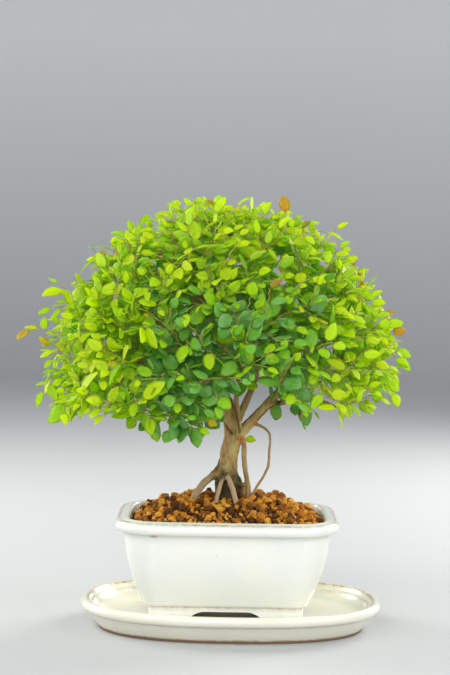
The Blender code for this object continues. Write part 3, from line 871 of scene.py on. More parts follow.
def meshFromArrays(name, places, faces, smooth=True):
    mesh = bpy.data.meshes.new(name)
    mesh.vertices.add(len(places))
    mesh.vertices.foreach_set("co", places.ravel())
    mesh.loops.add(len(faces) * 3)
    mesh.loops.foreach_set("vertex_index", faces.ravel())
    mesh.polygons.add(len(faces))
    mesh.polygons.foreach_set("loop_start", np.arange(0, len(faces) * 3, 3))
    mesh.polygons.foreach_set("use_smooth", np.full(len(faces), smooth))
    mesh.update(calc_edges=True)
    mesh.validate()
    piece = bpy.data.objects.new(name, mesh)
    bpy.context.scene.collection.objects.link(piece)
    return piece


def joinArrays(parts):
    places, faces, start = [], [], 0
    for points, corners in parts:
        places.append(points)
        faces.append(corners + start)
        start += len(points)
    return np.concatenate(places), np.concatenate(faces)


def anyWay(chance):
    return Vector([chance.gauss(0, 1) for axis in range(3)])


def turned(chance):
    axis = anyWay(chance).normalized()
    return np.array(Matrix.Rotation(chance.uniform(0, math.tau), 3, axis))


def makeSoil():
    # the dark bed under the loose grains: the soil's mound, let down by most of a grain, its soil colour
    # deepened into painted shade between them
    piece = mergedCopy("soil", "soilAndGapShade")
    for vert in piece.data.vertices:
        if vert.co.z > pot["bodyHigh"] - grains["edgeDrop"]:
            vert.co.z -= grains["sink"]
    openMesh()
    closeMesh()
    return piece


def hasRoom(cells, spot, size, squeeze):
    # true where no grain laid so far is too near; the grain is then noted in its cell
    column, row = int(spot.x / grains["cell"]), int(spot.y / grains["cell"])
    for i in (-1, 0, 1):
        for j in (-1, 0, 1):
            for other, reach in cells.get((column + i, row + j), ()):
                if (other - spot).length < (reach + size) * squeeze:
                    return False
    cells.setdefault((column, row), []).append((spot, size))
    return True


def layGrains(soilAndGapShade):
    chance = random.Random(41)
    soilTree = meshTree(soilAndGapShade.data)
    potTree = meshTree(glazedPot.data)
    low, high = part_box("soil")
    shapes = [grainShape(index) for index in range(grains["kinds"])]
    laid = []
    cells = {}
    for layer, wanted in (("bed", grains["count"]), ("loose", grains["upper"])):
        lift, squeeze = grains[layer]
        tries = 0
        made = 0
        while made < wanted and tries < wanted * grains["tries"]:
            tries += 1
            share = chance.random() ** grains["sizeBias"]
            size = grains["smallest"] + (grains["largest"] - grains["smallest"]) * share
            x = chance.uniform(low.x, high.x)
            y = chance.uniform(low.y, high.y)
            hit, normal = soilTree.ray_cast(Vector((x, y, high.z + 0.05)), Vector((0, 0, -1)))[:2]
            if hit is None or normal.z < grains["steepest"]:
                continue
            spot = hit + Vector((0, 0, size * lift))
            near, side, _, gap = woodTree.find_nearest(spot, 0.02)
            if near is not None and (gap < size * grains["fromWood"] or (spot - near).dot(side) < 0):
                continue
            gap = potTree.find_nearest(spot, 0.01)[3]
            if gap is not None and gap < size * grains["fromPot"]:
                continue
            if not hasRoom(cells, spot, size, squeeze):
                continue
            laid.append((spot, size, chance.randrange(len(shapes)), turned(chance), chance.random()))
            made += 1
        print("grain layer", layer, made)
    parts = [(shapes[kind][0] @ turn.T * size + np.array(spot), shapes[kind][1])
             for spot, size, kind, turn, tone in laid]
    piece = meshFromArrays("porousGrains", *joinArrays(parts), False)
    tones = [np.full(len(part[0]), grain[4]) for part, grain in zip(parts, laid)]
    addAttribute(piece, "tone", np.concatenate(tones))
    return piece


def grainMaterial():
    material, tree, shader = newMaterial("porousGrain")
    place = objectPlace(tree)
    shade = readAttribute(tree, "tone")
    dust = noiseRamp(tree, place, (700.0, 4.0, 0.65), 0.25, 0.75, -0.22, 0.22)
    colour = ramp(tree, sums(tree, "ADD", shade, dust, clamp=True), grains["colours"])
    green = noiseRamp(tree, place, (60.0, 3.0), 0.60, 0.70, 0.0, 0.35)
    colour = mixColour(tree, green, colour, grains["greenColour"])
    pore = greyRamp(tree, cellsOf(tree, place, 1300.0), 0.08, 0.32)
    colour = mixColour(tree, greyRamp(tree, pore, 0.0, 1.0, 0.55, 0.0), colour, grains["poreColour"])
    crust = sums(tree, "ADD", noiseOf(tree, place, 1100.0, 4.0, 0.7), pore)
    setInputs(tree, shader, Base_Color=colour, Roughness=0.80, Specular_IOR_Level=0.25,
              Normal=bumpFrom(tree, crust, 0.8, 0.0005))
    return material


def soilAndGapShadeMaterial():
    material, tree, shader = newMaterial("soilWithGapShade")
    crumb = cellsOf(tree, objectPlace(tree), 330.0)
    # crumbly dark soil, deepened into painted shade for the gaps between the grains
    setInputs(tree, shader, Base_Color=ramp(tree, crumb, grains["crumbs"]), Roughness=0.85,
              Normal=bumpFrom(tree, sums(tree, "SUBTRACT", 1.0, crumb), 1.0, 0.0016))
    return material


def giveMaterial(node, material):
    slots = cadNodes[node].data.materials
    if len(slots):
        slots[0] = material
    else:
        slots.append(material)


soilAndGapShade = finishPiece(makeSoil(), soilAndGapShadeMaterial(), "grains", "soil")
porousGrains = finishPiece(layGrains(soilAndGapShade), grainMaterial(), "grains")
print("grains done:", len(porousGrains.data.polygons), "faces")


# crown and twigs: each new twig grows from the nearest wood or twig
crown = {
    "middle": (0.007, 0.0, 0.205),
    "half": (0.171, 0.142, 0.183),  # half of its length, depth and height
    "upwardness": 1.1,  # above one, shoots and blades turn up a little more
    "top": 0.388,
    "widest": 0.235,  # height at which the leaves reach furthest
    "bottom": 0.165,
    "reachLeft": 0.163,
    "reachRight": 0.158,
    "reachFront": 0.141,
    "shoulder": (1.5, 1.7),  # how full the dome is above its widest, left and right
    "lump": 0.12,  # how far its outline swells and dips, as a share
    "floorLeft": 0.169,
    "floorRight": 0.184,
    "floorTurn": (-0.020, 0.030),  # the lower edge goes from the one to the other between these
    "brim": 0.034,  # how much higher the lowest leaves hang at the far left and right
    "gap": (0.034, 0.036, 0.024),  # open space round the limbs: middle, half width, extra height
    "frontRise": (0.02, 0.10),  # past the first, towards front and back, it rises at this slope
    "shoots": 1320,
    "tries": 90000,
    "deepShare": 0.54,  # shoots that end well inside
    "deepInset": (0.018, 0.105),
    "topShare": 0.30,  # shoots spread evenly over the dome as seen from above
    "topReach": 0.9,
    "inset": 0.0115,  # the other shoots' ends lie this far inside the outline
    "insetSpread": (0.7, 1.2),
    "levels": (0.170, 0.385),  # heights of shoot ends
    "fullReach": 0.165,  # levels narrower than this get fewer
    "highest": 0.380,
    "overFloor": 0.009,  # ends stay this far above the lowest leaves
    "apart": 0.0085,
}
# shoots that stand out from the outline
standing = {
    "number": 46,
    "levels": (0.186, 0.372),
    "past": (0.000, 0.011),  # how far past the outline they end
    "overFloor": 0.006,
    "apart": 0.022,
    "edge": 0.009,  # leaves round an end need this much of the part's size
    "redShare": 0.14,
    "red": (0.3, 0.9),
    # the three most seen: where each ends, and how red its young leaves are
    "chosen": ((0.060, -0.015, 0.370, 0.8), (-0.135, 0.010, 0.282, 0.7), (0.105, 0.0, 0.358, 0.1)),
}

twigs = {
    "tipRadius": 0.00036,
    "startRadius": 0.00095,
    "taper": 0.011,  # radius gained along a twig's length
    "sides": 5,
    "steps": 6,
    "fromGirth": 0.0085,  # twigs start on wood slimmer than this
    "fromHeight": 0.185,
    "everyPoint": 9,
    "shortest": 0.020,
    "bow": 0.16,
    "rise": 0.06,
    "kink": 0.0009,
    "inwards": (0.6, 0.9),  # a start less inward than the first costs more, up to the second as a share
    "shortCost": 0.05,
}
crownMid = Vector(crown["middle"])
foliageNodes = sorted(name for name in cadNodes if name.startswith("foliage"))


def domeShare(height, shoulder):
    # how far the dome reaches at a height, as a share of its widest
    if height >= crown["widest"]:
        rise = (height - crown["widest"]) / (crown["top"] - crown["widest"])
        return math.sqrt(max(1 - rise ** shoulder, 0.0))
    # below, it stays full and then tucks in sharply
    drop = (crown["widest"] - height) / (crown["widest"] - crown["bottom"])
    return math.sqrt(max(1 - drop ** 4, 0.0))


def crownReach(angle, height):
    # distance from the crown's upright axis to its outline
    c, s = math.cos(angle), math.sin(angle)
    rightness = (1 + c) / 2
    left, right = crown["shoulder"]
    sideways = crown["reachLeft"] + (crown["reachRight"] - crown["reachLeft"]) * rightness
    plain = 1 / math.sqrt((c / sideways) ** 2 + (s / crown["reachFront"]) ** 2)
    swell = 1 + crown["lump"] * noise.noise(Vector((c * 2.3, s * 2.3, height * 24)))
    return max(plain * swell * domeShare(height, left + (right - left) * rightness), 0.002)


def underside(spot):
    # the crown's lower edge: higher at its brim all round, and over the limbs
    rightness = smoothStep(spot.x, *crown["floorTurn"])
    base = crown["floorLeft"] + (crown["floorRight"] - crown["floorLeft"]) * rightness
    brim = crown["brim"] * (abs(spot.x - crownMid.x) / crown["half"][0]) ** 4
    middle, half, extra = crown["gap"]
    gap = extra * max(1 - (abs(spot.x - middle) / half) ** 4, 0.0)
    flat, slope = crown["frontRise"]
    rise = max(abs(spot.y) - flat, 0) * slope
    return base + brim + gap + rise


def beyondOutline(spot):
    # how far outside the crown a place lies; negative inside
    way = spot - crownMid
    angle = math.atan2(way.y, way.x)
    height = min(max(spot.z, crown["bottom"]), crown["top"])
    sideways = math.hypot(way.x, way.y) - crownReach(angle, height)
    return max(sideways, underside(spot) - spot.z, spot.z - crown["top"])


def outwardAt(spot):
    # away from the crown's middle, flattened as the crown is
    way = spot - crownMid
    half = crown["half"]
    return Vector((way.x / half[0], way.y / half[1], way.z / half[2] * crown["upwardness"])).normalized()


def standingEnds(chance):
    # the long shoot at the far left first, then the chosen ones, then the rest all round
    low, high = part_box("foliage_left")
    ends = [(Vector((low.x + 0.006, -0.005, (low.z + high.z) / 2 + 0.016)), 1.0)]
    ends += [(Vector(end[:3]), end[3]) for end in standing["chosen"]]
    while len(ends) < standing["number"]:
        height = chance.uniform(*standing["levels"])
        angle = chance.uniform(-math.pi, math.pi)
        away = crownReach(angle, height) + chance.uniform(*standing["past"])
        spot = Vector((crownMid.x + math.cos(angle) * away, math.sin(angle) * away, height))
        if any(abs(spot[i]) > cadBox[1][i] - standing["edge"] for i in (0, 1)):
            continue
        if spot.z < underside(spot) + standing["overFloor"]:
            continue
        if any((spot - other).length < standing["apart"] for other, _ in ends):
            continue
        red = chance.uniform(*standing["red"]) if chance.random() < standing["redShare"] else 0.0
        ends.append((spot, red))
    return ends


def tryShoot(chance):
    # one chance place for a shoot's end, or None where its level is narrow
    angle = chance.uniform(-math.pi, math.pi)
    deep = chance.random() < crown["deepShare"]
    if deep:
        inset = chance.uniform(*crown["deepInset"])
    else:
        inset = crown["inset"] * chance.uniform(*crown["insetSpread"])
    if chance.random() < crown["topShare"]:
        # from above: a place over the plan, then down from the dome's surface
        share = math.sqrt(chance.random()) * crown["topReach"]
        rise = (1 - share ** 2) ** (1 / crown["shoulder"][0])
        height = crown["widest"] + rise * (crown["top"] - crown["widest"]) - inset
        away = crownReach(angle, crown["widest"]) * share
    else:
        height = chance.uniform(*crown["levels"])
        reach = crownReach(angle, height)
        if chance.random() > (reach - inset) / crown["fullReach"]:
            return None
        away = max(reach - inset, 0.0)
    return crownMid + Vector((math.cos(angle) * away, math.sin(angle) * away, height - crownMid.z))


def shootEnds():
    # ends as (place, foliage node, redness, kept); redness is under nought where chance gives it later
    chance = random.Random(7)
    shoots = [(spot, red, True) for spot, red in standingEnds(chance)]
    tries = 0
    while len(shoots) < crown["shoots"] and tries < crown["tries"]:
        tries += 1
        spot = tryShoot(chance)
        if spot is None or spot.z < underside(spot) + crown["overFloor"] or spot.z > crown["highest"]:
            continue
        if any((spot - shoot[0]).length < crown["apart"] for shoot in shoots):
            continue
        shoots.append((spot, -1.0, False))
    print("shoots wanted:", len(shoots), "tries", tries)
    # each goes to the nearest mass of foliage, with a little weight on how near its middle is
    middles = {name: sum(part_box(name), Vector()) / 2 for name in foliageNodes}
    trees = {name: meshTree(cadNodes[name].data) for name in foliageNodes}
    ends = []
    for spot, red, kept in shoots:
        gaps = {name: trees[name].find_nearest(spot)[3] for name in foliageNodes}
        name = min(foliageNodes, key=lambda n: gaps[n] + 0.1 * (spot - middles[n]).length)
        ends.append((spot, name, red, kept))
    return ends


def bentTwig(start, end, middle, radius):
    # a bow from start to end with a small kink at each bud, as (point, radius)
    across = outwardAt(end).cross(Vector((0, 0, 1)))
    path = []
    for i in range(twigs["steps"] + 1):
        t = i / twigs["steps"]
        point = start * (1 - t) ** 2 + middle * 2 * t * (1 - t) + end * t * t
        if 0 < i < twigs["steps"]:
            point += across * twigs["kink"] * (1 if i % 2 else -1)
        path.append((point, radius + (twigs["tipRadius"] - radius) * t))
    return path


def growTwigs(ends):
    chance = random.Random(19)
    places = meshPlaces(grownWood.data)
    slim = (readValues(grownWood.data, "girth") < twigs["fromGirth"]) & (places[:, 2] > twigs["fromHeight"])
    known = places[slim][::twigs["everyPoint"]]
    radii = np.full(len(known), twigs["startRadius"])
    order = sorted(ends, key=lambda end: np.min(np.linalg.norm(known - np.array(end[0]), axis=1)))
    grown = []
    for spot, name, red, kept in order:
        gaps = np.linalg.norm(known - np.array(spot), axis=1)
        # prefer a start that lies inwards of the end
        inward = (np.array(spot) - known) @ np.array(outwardAt(spot))
        least, extra = twigs["inwards"]
        cost = gaps * (1 + extra * np.clip(least - inward / np.maximum(gaps, sameSpot), 0, 1))
        cost += (gaps < twigs["shortest"]) * twigs["shortCost"]
        best = int(np.argmin(cost))
        start = Vector(known[best])
        length = (spot - start).length
        bow = Vector((chance.uniform(-1, 1), chance.uniform(-1, 1), chance.uniform(-0.4, 1)))
        middle = start.lerp(spot, 0.5) + bow * length * twigs["bow"] + Vector((0, 0, length * twigs["rise"]))
        radius = min(radii[best], twigs["tipRadius"] + length * twigs["taper"])
        path = bentTwig(start, spot, middle, radius)
        grown.append((path, name, red, kept))
        known = np.vstack([known] + [np.array([point]) for point, _ in path[1:]])
        radii = np.append(radii, [thickness for _, thickness in path[1:]])
    return grown


def tubeArrays(path, sides):
    # closed tube round a path of (point, radius)
    points = []
    previous = None
    for i, (spot, radius) in enumerate(path):
        before = path[max(i - 1, 0)][0]
        after = path[min(i + 1, len(path) - 1)][0]
        along = (after - before).normalized()
        if previous is None:
            previous = along.orthogonal().normalized()
        across = (previous - along * previous.dot(along)).normalized()
        previous = across
        other = along.cross(across)
        for j in range(sides):
            angle = math.tau * j / sides
            points.append(spot + (across * math.cos(angle) + other * math.sin(angle)) * radius)
    faces = []
    for i in range(len(path) - 1):
        for j in range(sides):
            a = i * sides + j
            b = i * sides + (j + 1) % sides
            faces += [(a, b, b + sides), (a, b + sides, a + sides)]
    first, last = len(points), len(points) + 1
    points += [path[0][0], path[-1][0] + (path[-1][0] - path[-2][0]).normalized() * path[-1][1]]
    end = (len(path) - 1) * sides
    for j in range(sides):
        faces.append((first, (j + 1) % sides, j))
        faces.append((last, end + j, end + (j + 1) % sides))
    return np.array([tuple(p) for p in points]), np.array(faces)


# leaves
leaf = {
    "across": 4,
    "along": 5,
    # width, pointedness, fold along the midrib and curl of each kind; the last two are young
    "kinds": ((0.86, 0.75, 0.10, 0.10), (0.92, 0.6, 0.16, 0.04), (0.80, 0.9, 0.06, 0.18),
              (0.98, 0.5, 0.12, -0.04), (0.70, 1.2, 0.22, 0.14), (0.48, 1.6, 0.30, 0.22)),
    "thickness": 0.00022,
    "bladeLength": 0.014,  # a blade of this length is that thick
    "seam": 0.0008,
    # stalk, as shares of the blade's length: (place along, height, radius)
    "stalk": ((-0.16, -0.012, 0.024), (-0.06, 0.0, 0.022), (0.06, -0.004, 0.014)),
    "least": 0.0080,
    "usual": 0.0165,
    "most": 0.0200,
    "spacing": 0.0070,
    # one young leaf straight from the wood below the fork: place, way, face, length, kind, youth
    "forkLeaf": ((0.032, -0.008, 0.171), (0.95, -0.25, -0.15), (0.1, -0.9, 0.45), 0.0095, 2, 0.9),
    "leafyLength": 0.060,  # leaves grow on this much of a shoot's end
    "leafySpread": (0.8, 1.15),
    "leafyMost": 0.92,  # as a share of the shoot
    "faces": (0.55, 0.75, 0.50),  # how far blades face upwards, outwards and any way
    "leans": 0.85,  # how far they point sideways
    "droops": 0.38,
    "bigger": (1.3, 0.05, 0.25),  # large ones: how much, and their share on plain and standing shoots
    "insideShrink": 0.22,
    "tipShrink": 0.25,
    # youth rises from the first to the second of these distances from the crown's middle; at the left, right
    # and top the rise is partly a painted rim light and top light
    "youngAndRimLitLeft": (0.035, 0.110),
    "youngAndRimLitRight": (0.045, 0.120),
    "youngAndLitTop": (0.060, 0.145),
    "youngBack": (0.02, 0.12),
    "youngDepth": (-0.034, -0.006),  # and from the first to the second of these past the outline
    "youthBase": 0.14,
    "youthGains": (0.96, 0.15, 0.26),  # at the sides and top (young growth with painted rim light and top light), at the back, and at shoot ends
    "youthInside": (0.54, 0.46),  # the shares of the gain that come anywhere and by depth
    "youthSpread": 0.17,
    "standingYouth": (0.65, 1.0),  # at the outer half of shoots that stand out
    "redByChance": 0.07,
    "past": (0.005, 0.012),  # tips may pass the crown's outline by this, a few by the second
    "ages": ((0.0, (0.090, 0.310, 0.030)), (0.28, (0.210, 0.550, 0.010)),
             (0.58, (0.580, 0.830, 0.004)), (1.0, (0.840, 0.930, 0.004))),
    "veinColour": (0.40, 0.56, 0.16),
    # colour of the painted sheen on old leaves
    "paintedSheenColour": (0.33, 0.52, 0.30),
    "rimColour": (0.46, 0.64, 0.26),
    "redColour": (0.62, 0.23, 0.05),
    "underColour": (0.30, 0.46, 0.14),
    "stalkColour": (0.42, 0.36, 0.09),
    "glow": ((0.40, 0.82, 0.02), (0.92, 0.99, 0.01)),  # light through old and young blades
    "redGlow": (0.85, 0.35, 0.05),
}


def shapeBlade(blade, index):
    # a flat grid becomes an oval folded along its midrib
    width, tip, fold, curl = leaf["kinds"][index]
    bm = bmesh.from_edit_mesh(blade.data)
    across = bm.verts.layers.float.new("across")
    along = bm.verts.layers.float.new("along")
    for vert in bm.verts:
        u = vert.co.x * 2
        v = vert.co.y + 0.5
        v = 0.5 - 0.5 * math.cos(math.pi * v) if 0 < v < 1 else v  # finer at both ends
        grow = max(math.sin(math.pi * v ** 0.86), 0.0) ** 0.62
        half = width / 2 * grow * (1 - 0.62 * max(v - 0.5, 0) * tip)
        vert[across] = u
        vert[along] = v
        wave = 0.018 * math.sin(v * 9 + index * 2 + u) * abs(u) * grow
        x = u * half
        vert.co = Vector((x, v, fold * abs(x) * 0.9 - curl * (v - 0.35) ** 2 + wave))
    bmesh.update_edit_mesh(blade.data)


def giveUnderside(blade):
    # a turned copy just below, joined along the outline
    bpy.ops.mesh.duplicate()
    bpy.ops.mesh.flip_normals()
    bm = bmesh.from_edit_mesh(blade.data)
    across = bm.verts.layers.float["across"]
    along = bm.verts.layers.float["along"]
    for vert in bm.verts:
        if vert.select and abs(vert[across]) < 0.99 and 0.01 < vert[along] < 0.99:
            vert.co.z -= leaf["thickness"] / leaf["bladeLength"]
    bmesh.update_edit_mesh(blade.data)
    bpy.ops.mesh.select_all(action="SELECT")
    bpy.ops.mesh.remove_doubles(threshold=leaf["seam"])


def leafShape(index):
    clearSelection()
    bpy.ops.mesh.primitive_grid_add(x_subdivisions=leaf["across"], y_subdivisions=leaf["along"], size=1)
    blade = nameIt("leafShape")
    openMesh()
    shapeBlade(blade, index)
    giveUnderside(blade)
    bpy.ops.object.mode_set(mode="OBJECT")
    mesh = blade.data
    if mesh.polygons[0].normal.z < 0:
        mesh.flip_normals()
    points, corners = meshArrays(mesh)
    first, second, third = [points[corners[:, i]] for i in range(3)]
    under = (np.cross(second - first, third - first)[:, 2] < 0).astype(float)
    tube = tubeArrays([(Vector((0, y, z)), radius) for y, z, radius in leaf["stalk"]], 3)
    u = np.append(readValues(mesh, "across"), np.zeros(len(tube[0])))
    v = np.append(readValues(mesh, "along"), np.full(len(tube[0]), -0.1))
    under = np.append(under, np.zeros(len(tube[1])))
    bpy.data.objects.remove(blade)
    return *joinArrays([(points, corners), tube]), u, v, under


def leafFrame(along, face):
    # turn matrix whose Y is the leaf's length and Z its upper face
    y = along.normalized()
    x = y.cross(face)
    x = x.normalized() if x.length > 0.01 else y.orthogonal().normalized()
    return np.array(Matrix((x, y, x.cross(y))).transposed())


def youthAndLightAt(spot, tipShare, chance):
    # young and yellow at the top, the sides and the shoot ends, old and deep green in front and inside; the
    # yellower top and sides are partly a painted rim light and top light
    way = spot - crownMid
    side = smoothStep(-way.x, *leaf["youngAndRimLitLeft"]) + smoothStep(way.x, *leaf["youngAndRimLitRight"])
    top = smoothStep(way.z, *leaf["youngAndLitTop"])
    outer = smoothStep(beyondOutline(spot), *leaf["youngDepth"])
    outside, behind, atTip = leaf["youthGains"]
    back = smoothStep(way.y, *leaf["youngBack"]) * behind
    anywhere, byDepth = leaf["youthInside"]
    gain = (max(side, top) * outside + back) * (anywhere + byDepth * outer)
    youthAndLight = leaf["youthBase"] + gain + atTip * tipShare * outer
    return min(max(youthAndLight + chance.gauss(0, leaf["youthSpread"]), 0.0), 1.0)


def leafWay(chance, spot, heading, turn, last):
    # where a leaf points and which way its upper face looks
    upward, outward, anyhow = leaf["faces"]
    up = Vector((0, 0, 1)) * upward + outwardAt(spot) * outward + anyWay(chance) * anyhow
    up = (up - heading * up.dot(heading) * 0.7).normalized()
    side = heading.cross(up).normalized()
    if last:
        axis = heading * 1.0 + side * turn * 0.25
    else:
        axis = heading * chance.uniform(0.25, 0.65) + side * turn * leaf["leans"]
    return (axis - Vector((0, 0, 1)) * chance.uniform(0.0, leaf["droops"])).normalized(), up


def leafLength(chance, spot, share, kept):
    # smaller inside the crown and near a shoot's end
    inside = smoothStep(-beyondOutline(spot), 0.012, 0.050)
    usual = leaf["usual"] * (1 - leaf["insideShrink"] * inside)
    length = chance.triangular(leaf["least"], leaf["most"], usual)
    length *= 1.0 - leaf["tipShrink"] * max(share - 0.6, 0) / 0.4
    bigger, *shares = leaf["bigger"]
    return length * bigger if chance.random() < shares[kept] else length


def leafKind(chance, share, youthAndLight):
    # old ones are of the first four kinds, young ones mostly of the fifth
    kind = chance.randrange(4) if youthAndLight < 0.5 else chance.choice((0, 2, 4, 4, 4))
    if share > 0.9 and youthAndLight > 0.75 and chance.random() < 0.3:
        kind = 5
    return kind


def leafBlush(chance, red, share, youthAndLight):
    # red young leaves: as the shoot says, or a few by chance
    if red < 0 and youthAndLight > 0.62 and share > 0.7 and chance.random() < leaf["redByChance"]:
        return chance.uniform(*standing["red"])
    return max(red, 0.0) * smoothStep(share, 0.35, 1.0)


def placeLeaves(grown):
    chance = random.Random(57)
    leaves = {name: [] for name in foliageNodes}
    for path, name, red, kept in grown:
        points = [point for point, _ in path]
        lengths = [(b - a).length for a, b in zip(points, points[1:])]
        total = sum(lengths)
        leafy = min(total * leaf["leafyMost"], leaf["leafyLength"] * chance.uniform(*leaf["leafySpread"]))
        number = max(2, int(leafy / leaf["spacing"]))
        turn = chance.choice((-1, 1))
        for i in range(number + 1):
            share = i / number
            turn = -turn
            spot, heading = alongPath(points, lengths, total - leafy * (1 - share))
            axis, up = leafWay(chance, spot, heading, turn, i == number)
            length = leafLength(chance, spot, share, kept)
            youthAndLight = youthAndLightAt(spot, share, chance)
            kind = leafKind(chance, share, youthAndLight)
            if kept and share > 0.45:
                youthAndLight = max(youthAndLight, chance.uniform(*leaf["standingYouth"]))
            blush = leafBlush(chance, red, share, youthAndLight)
            if not kept:
                tip = spot + axis * length * 0.8
                if beyondOutline(tip) > leaf["past"][chance.random() < 0.3]:
                    continue
            root = spot + axis * 0.15 * length
            leaves[name].append((root, axis, up, length, kind, youthAndLight, blush, chance.random()))
    place, way, face, length, kind, youthAndLight = leaf["forkLeaf"]
    root = woodTree.find_nearest(Vector(place))[0]
    axis = Vector(way).normalized()
    leaves["foliage_front"].append((root, axis, Vector(face), length, kind, youthAndLight, 0.0, 0.5))
    return leaves


def alongPath(points, lengths, reach):
    for a, b, length in zip(points, points[1:], lengths):
        if reach <= length:
            return a.lerp(b, max(reach, 0) / length), (b - a).normalized()
        reach -= length
    return points[-1].copy(), (points[-1] - points[-2]).normalized()


def leafPiece(name, entries, shapes):
    low, high = [np.array(corner) for corner in cadBox]
    parts, unders = [], []
    values = {key: [] for key in ("across", "along", "youthAndLight", "blush", "tone")}
    for spot, axis, up, length, kind, youthAndLight, blush, tone in entries:
        points, corners, u, v, under = shapes[kind]
        made = points @ leafFrame(axis, up).T * length + np.array(spot)
        if (made < low + 0.0002).any() or (made > high - 0.0002).any():
            continue
        parts.append((made, corners))
        unders.append(under)
        for key, value in zip(values, (u, v, youthAndLight, blush, tone)):
            values[key].append(np.broadcast_to(value, len(points)))
    piece = meshFromArrays(name, *joinArrays(parts))
    for key, lists in values.items():
        addAttribute(piece, key, np.concatenate(lists))
    addAttribute(piece, "under", np.concatenate(unders), "FACE")
    return piece


def leafMaterial():
    material, tree, shader = newMaterial("leafGreen")
    youthAndLight = readAttribute(tree, "youthAndLight")
    tone = readAttribute(tree, "tone")
    across = sums(tree, "ABSOLUTE", readAttribute(tree, "across"))
    along = readAttribute(tree, "along")
    place = objectPlace(tree)
    cloud = noiseRamp(tree, place, (210.0, 3.0), 0.3, 0.7, -0.10, 0.10)
    # leaf colour by youth, partly a painted rim light and top light at the crown's sides and top
    age = sums(tree, "ADD", youthAndLight, cloud)
    age = sums(tree, "ADD", age, greyRamp(tree, tone, 0.0, 1.0, -0.12, 0.12), clamp=True)
    face = ramp(tree, age, leaf["ages"])
    # midrib and side veins
    rib = greyRamp(tree, across, 0.05, 0.11, 1.0, 0.0)
    slant = sums(tree, "SUBTRACT", product(tree, along, 6.5), product(tree, across, 1.7))
    ridge = sums(tree, "ABSOLUTE", sums(tree, "SUBTRACT", sums(tree, "FRACT", slant), 0.5))
    veins = greyRamp(tree, ridge, 0.04, 0.13, 0.55, 0.0)
    lines = sums(tree, "MAXIMUM", rib, veins)
    veined = mixColour(tree, product(tree, lines, 0.30), face, leaf["veinColour"])
    # painted sheen on old leaves: a pale grey-green standing in for reflected light
    paintedSheenSpread = noiseRamp(tree, place, (120.0, 3.0), 0.40, 0.62)
    oldness = greyRamp(tree, age, 0.15, 0.48, 0.58, 0.0)
    paintedSheen = product(tree, paintedSheenSpread, oldness)
    sheened = mixColour(tree, paintedSheen, veined, leaf["paintedSheenColour"])
    rim = greyRamp(tree, across, 0.84, 1.0, 0.0, 0.50)
    sheened = mixColour(tree, rim, sheened, leaf["rimColour"])
    patchy = noiseRamp(tree, place, (160.0, 2.0), 0.3, 0.6, 0.55, 1.0)
    red = product(tree, readAttribute(tree, "blush"), patchy)
    blushed = mixColour(tree, red, sheened, leaf["redColour"])
    under = product(tree, readAttribute(tree, "under"), 0.55)
    pale = mixColour(tree, under, blushed, leaf["underColour"])
    stalk = sums(tree, "LESS_THAN", along, -0.01)
    relief = sums(tree, "SUBTRACT", noiseOf(tree, place, 500.0, 3.0), product(tree, lines, 0.9))
    normal = bumpFrom(tree, relief, 0.5, 0.00035)
    setInputs(tree, shader, Base_Color=mixColour(tree, stalk, pale, leaf["stalkColour"]), Normal=normal,
              Specular_IOR_Level=0.30,
              Roughness=noiseRamp(tree, place, (260.0, 3.0), 0.3, 0.7, 0.34, 0.50))
    # light that comes through the blade is yellower
    through = tree.nodes.new("ShaderNodeBsdfTranslucent")
    glow = mixColour(tree, product(tree, age, 0.6), *leaf["glow"])
    setInputs(tree, through, Color=mixColour(tree, red, glow, leaf["redGlow"]), Normal=normal)
    blend = tree.nodes.new("ShaderNodeMixShader")
    sources = (greyRamp(tree, age, 0.0, 1.0, 0.40, 0.60), shader.outputs[0], through.outputs[0])
    for source, socket in zip(sources, blend.inputs):
        tree.links.new(source, socket)
    tree.links.new(blend.outputs[0], tree.nodes["Material Output"].inputs["Surface"])
    return material


grown = growTwigs(shootEnds())
tubes = joinArrays([tubeArrays(shoot[0], twigs["sides"]) for shoot in grown])
fineTwigs = finishPiece(meshFromArrays("fineTwigs", *tubes), twigBark, "bark")
print("twigs done:", len(grown), "shoots,", len(fineTwigs.data.polygons), "faces")
leafShapes = [leafShape(index) for index in range(len(leaf["kinds"]))]
leafGreen = leafMaterial()
leafFaces = 0
leafCount = 0
for name, entries in placeLeaves(grown).items():
    piece = finishPiece(leafPiece(name.replace("foliage", "leaves"), entries, leafShapes),
                        leafGreen, "leaves", name)
    leafFaces += len(piece.data.polygons)
    leafCount += len(entries)
print("leaves done:", leafCount, "leaves,", leafFaces, "faces")


# drain screens and their wires, shown as the frame holds them
drain = {
    "screen": (0.020, 0.020, 0.020),
    "silt": (0.085, 0.045, 0.020),
    "wire": ((0.3, (0.55, 0.54, 0.52)), (0.7, (0.30, 0.27, 0.24))),
}


def screenMaterial():
    material, tree, shader = newMaterial("drainScreen")
    place = objectPlace(tree)
    dirt = noiseRamp(tree, place, (240.0, 4.0), 0.40, 0.65)
    setInputs(tree, shader, Base_Color=mixColour(tree, dirt, drain["screen"], drain["silt"]),
              Roughness=greyRamp(tree, dirt, 0.0, 1.0, 0.40, 0.80),
              Normal=bumpFrom(tree, noiseOf(tree, place, 900.0), 0.3, 0.0002))
    return material


def wireMaterial():
    material, tree, shader = newMaterial("screenWire")
    dull = noiseOf(tree, objectPlace(tree), 600.0, 4.0)
    setInputs(tree, shader, Base_Color=ramp(tree, dull, drain["wire"]), Metallic=1.0,
              Roughness=greyRamp(tree, dull, 0.3, 0.7, 0.32, 0.60),
              Normal=bumpFrom(tree, dull, 0.2, 0.0001))
    return material


drainMaterials = {"drain_screen": screenMaterial(), "screen_wire": wireMaterial()}
for name in cadNodes:
    for start, material in drainMaterials.items():
        if name.startswith(start):
            giveMaterial(name, material)
print("drain done")


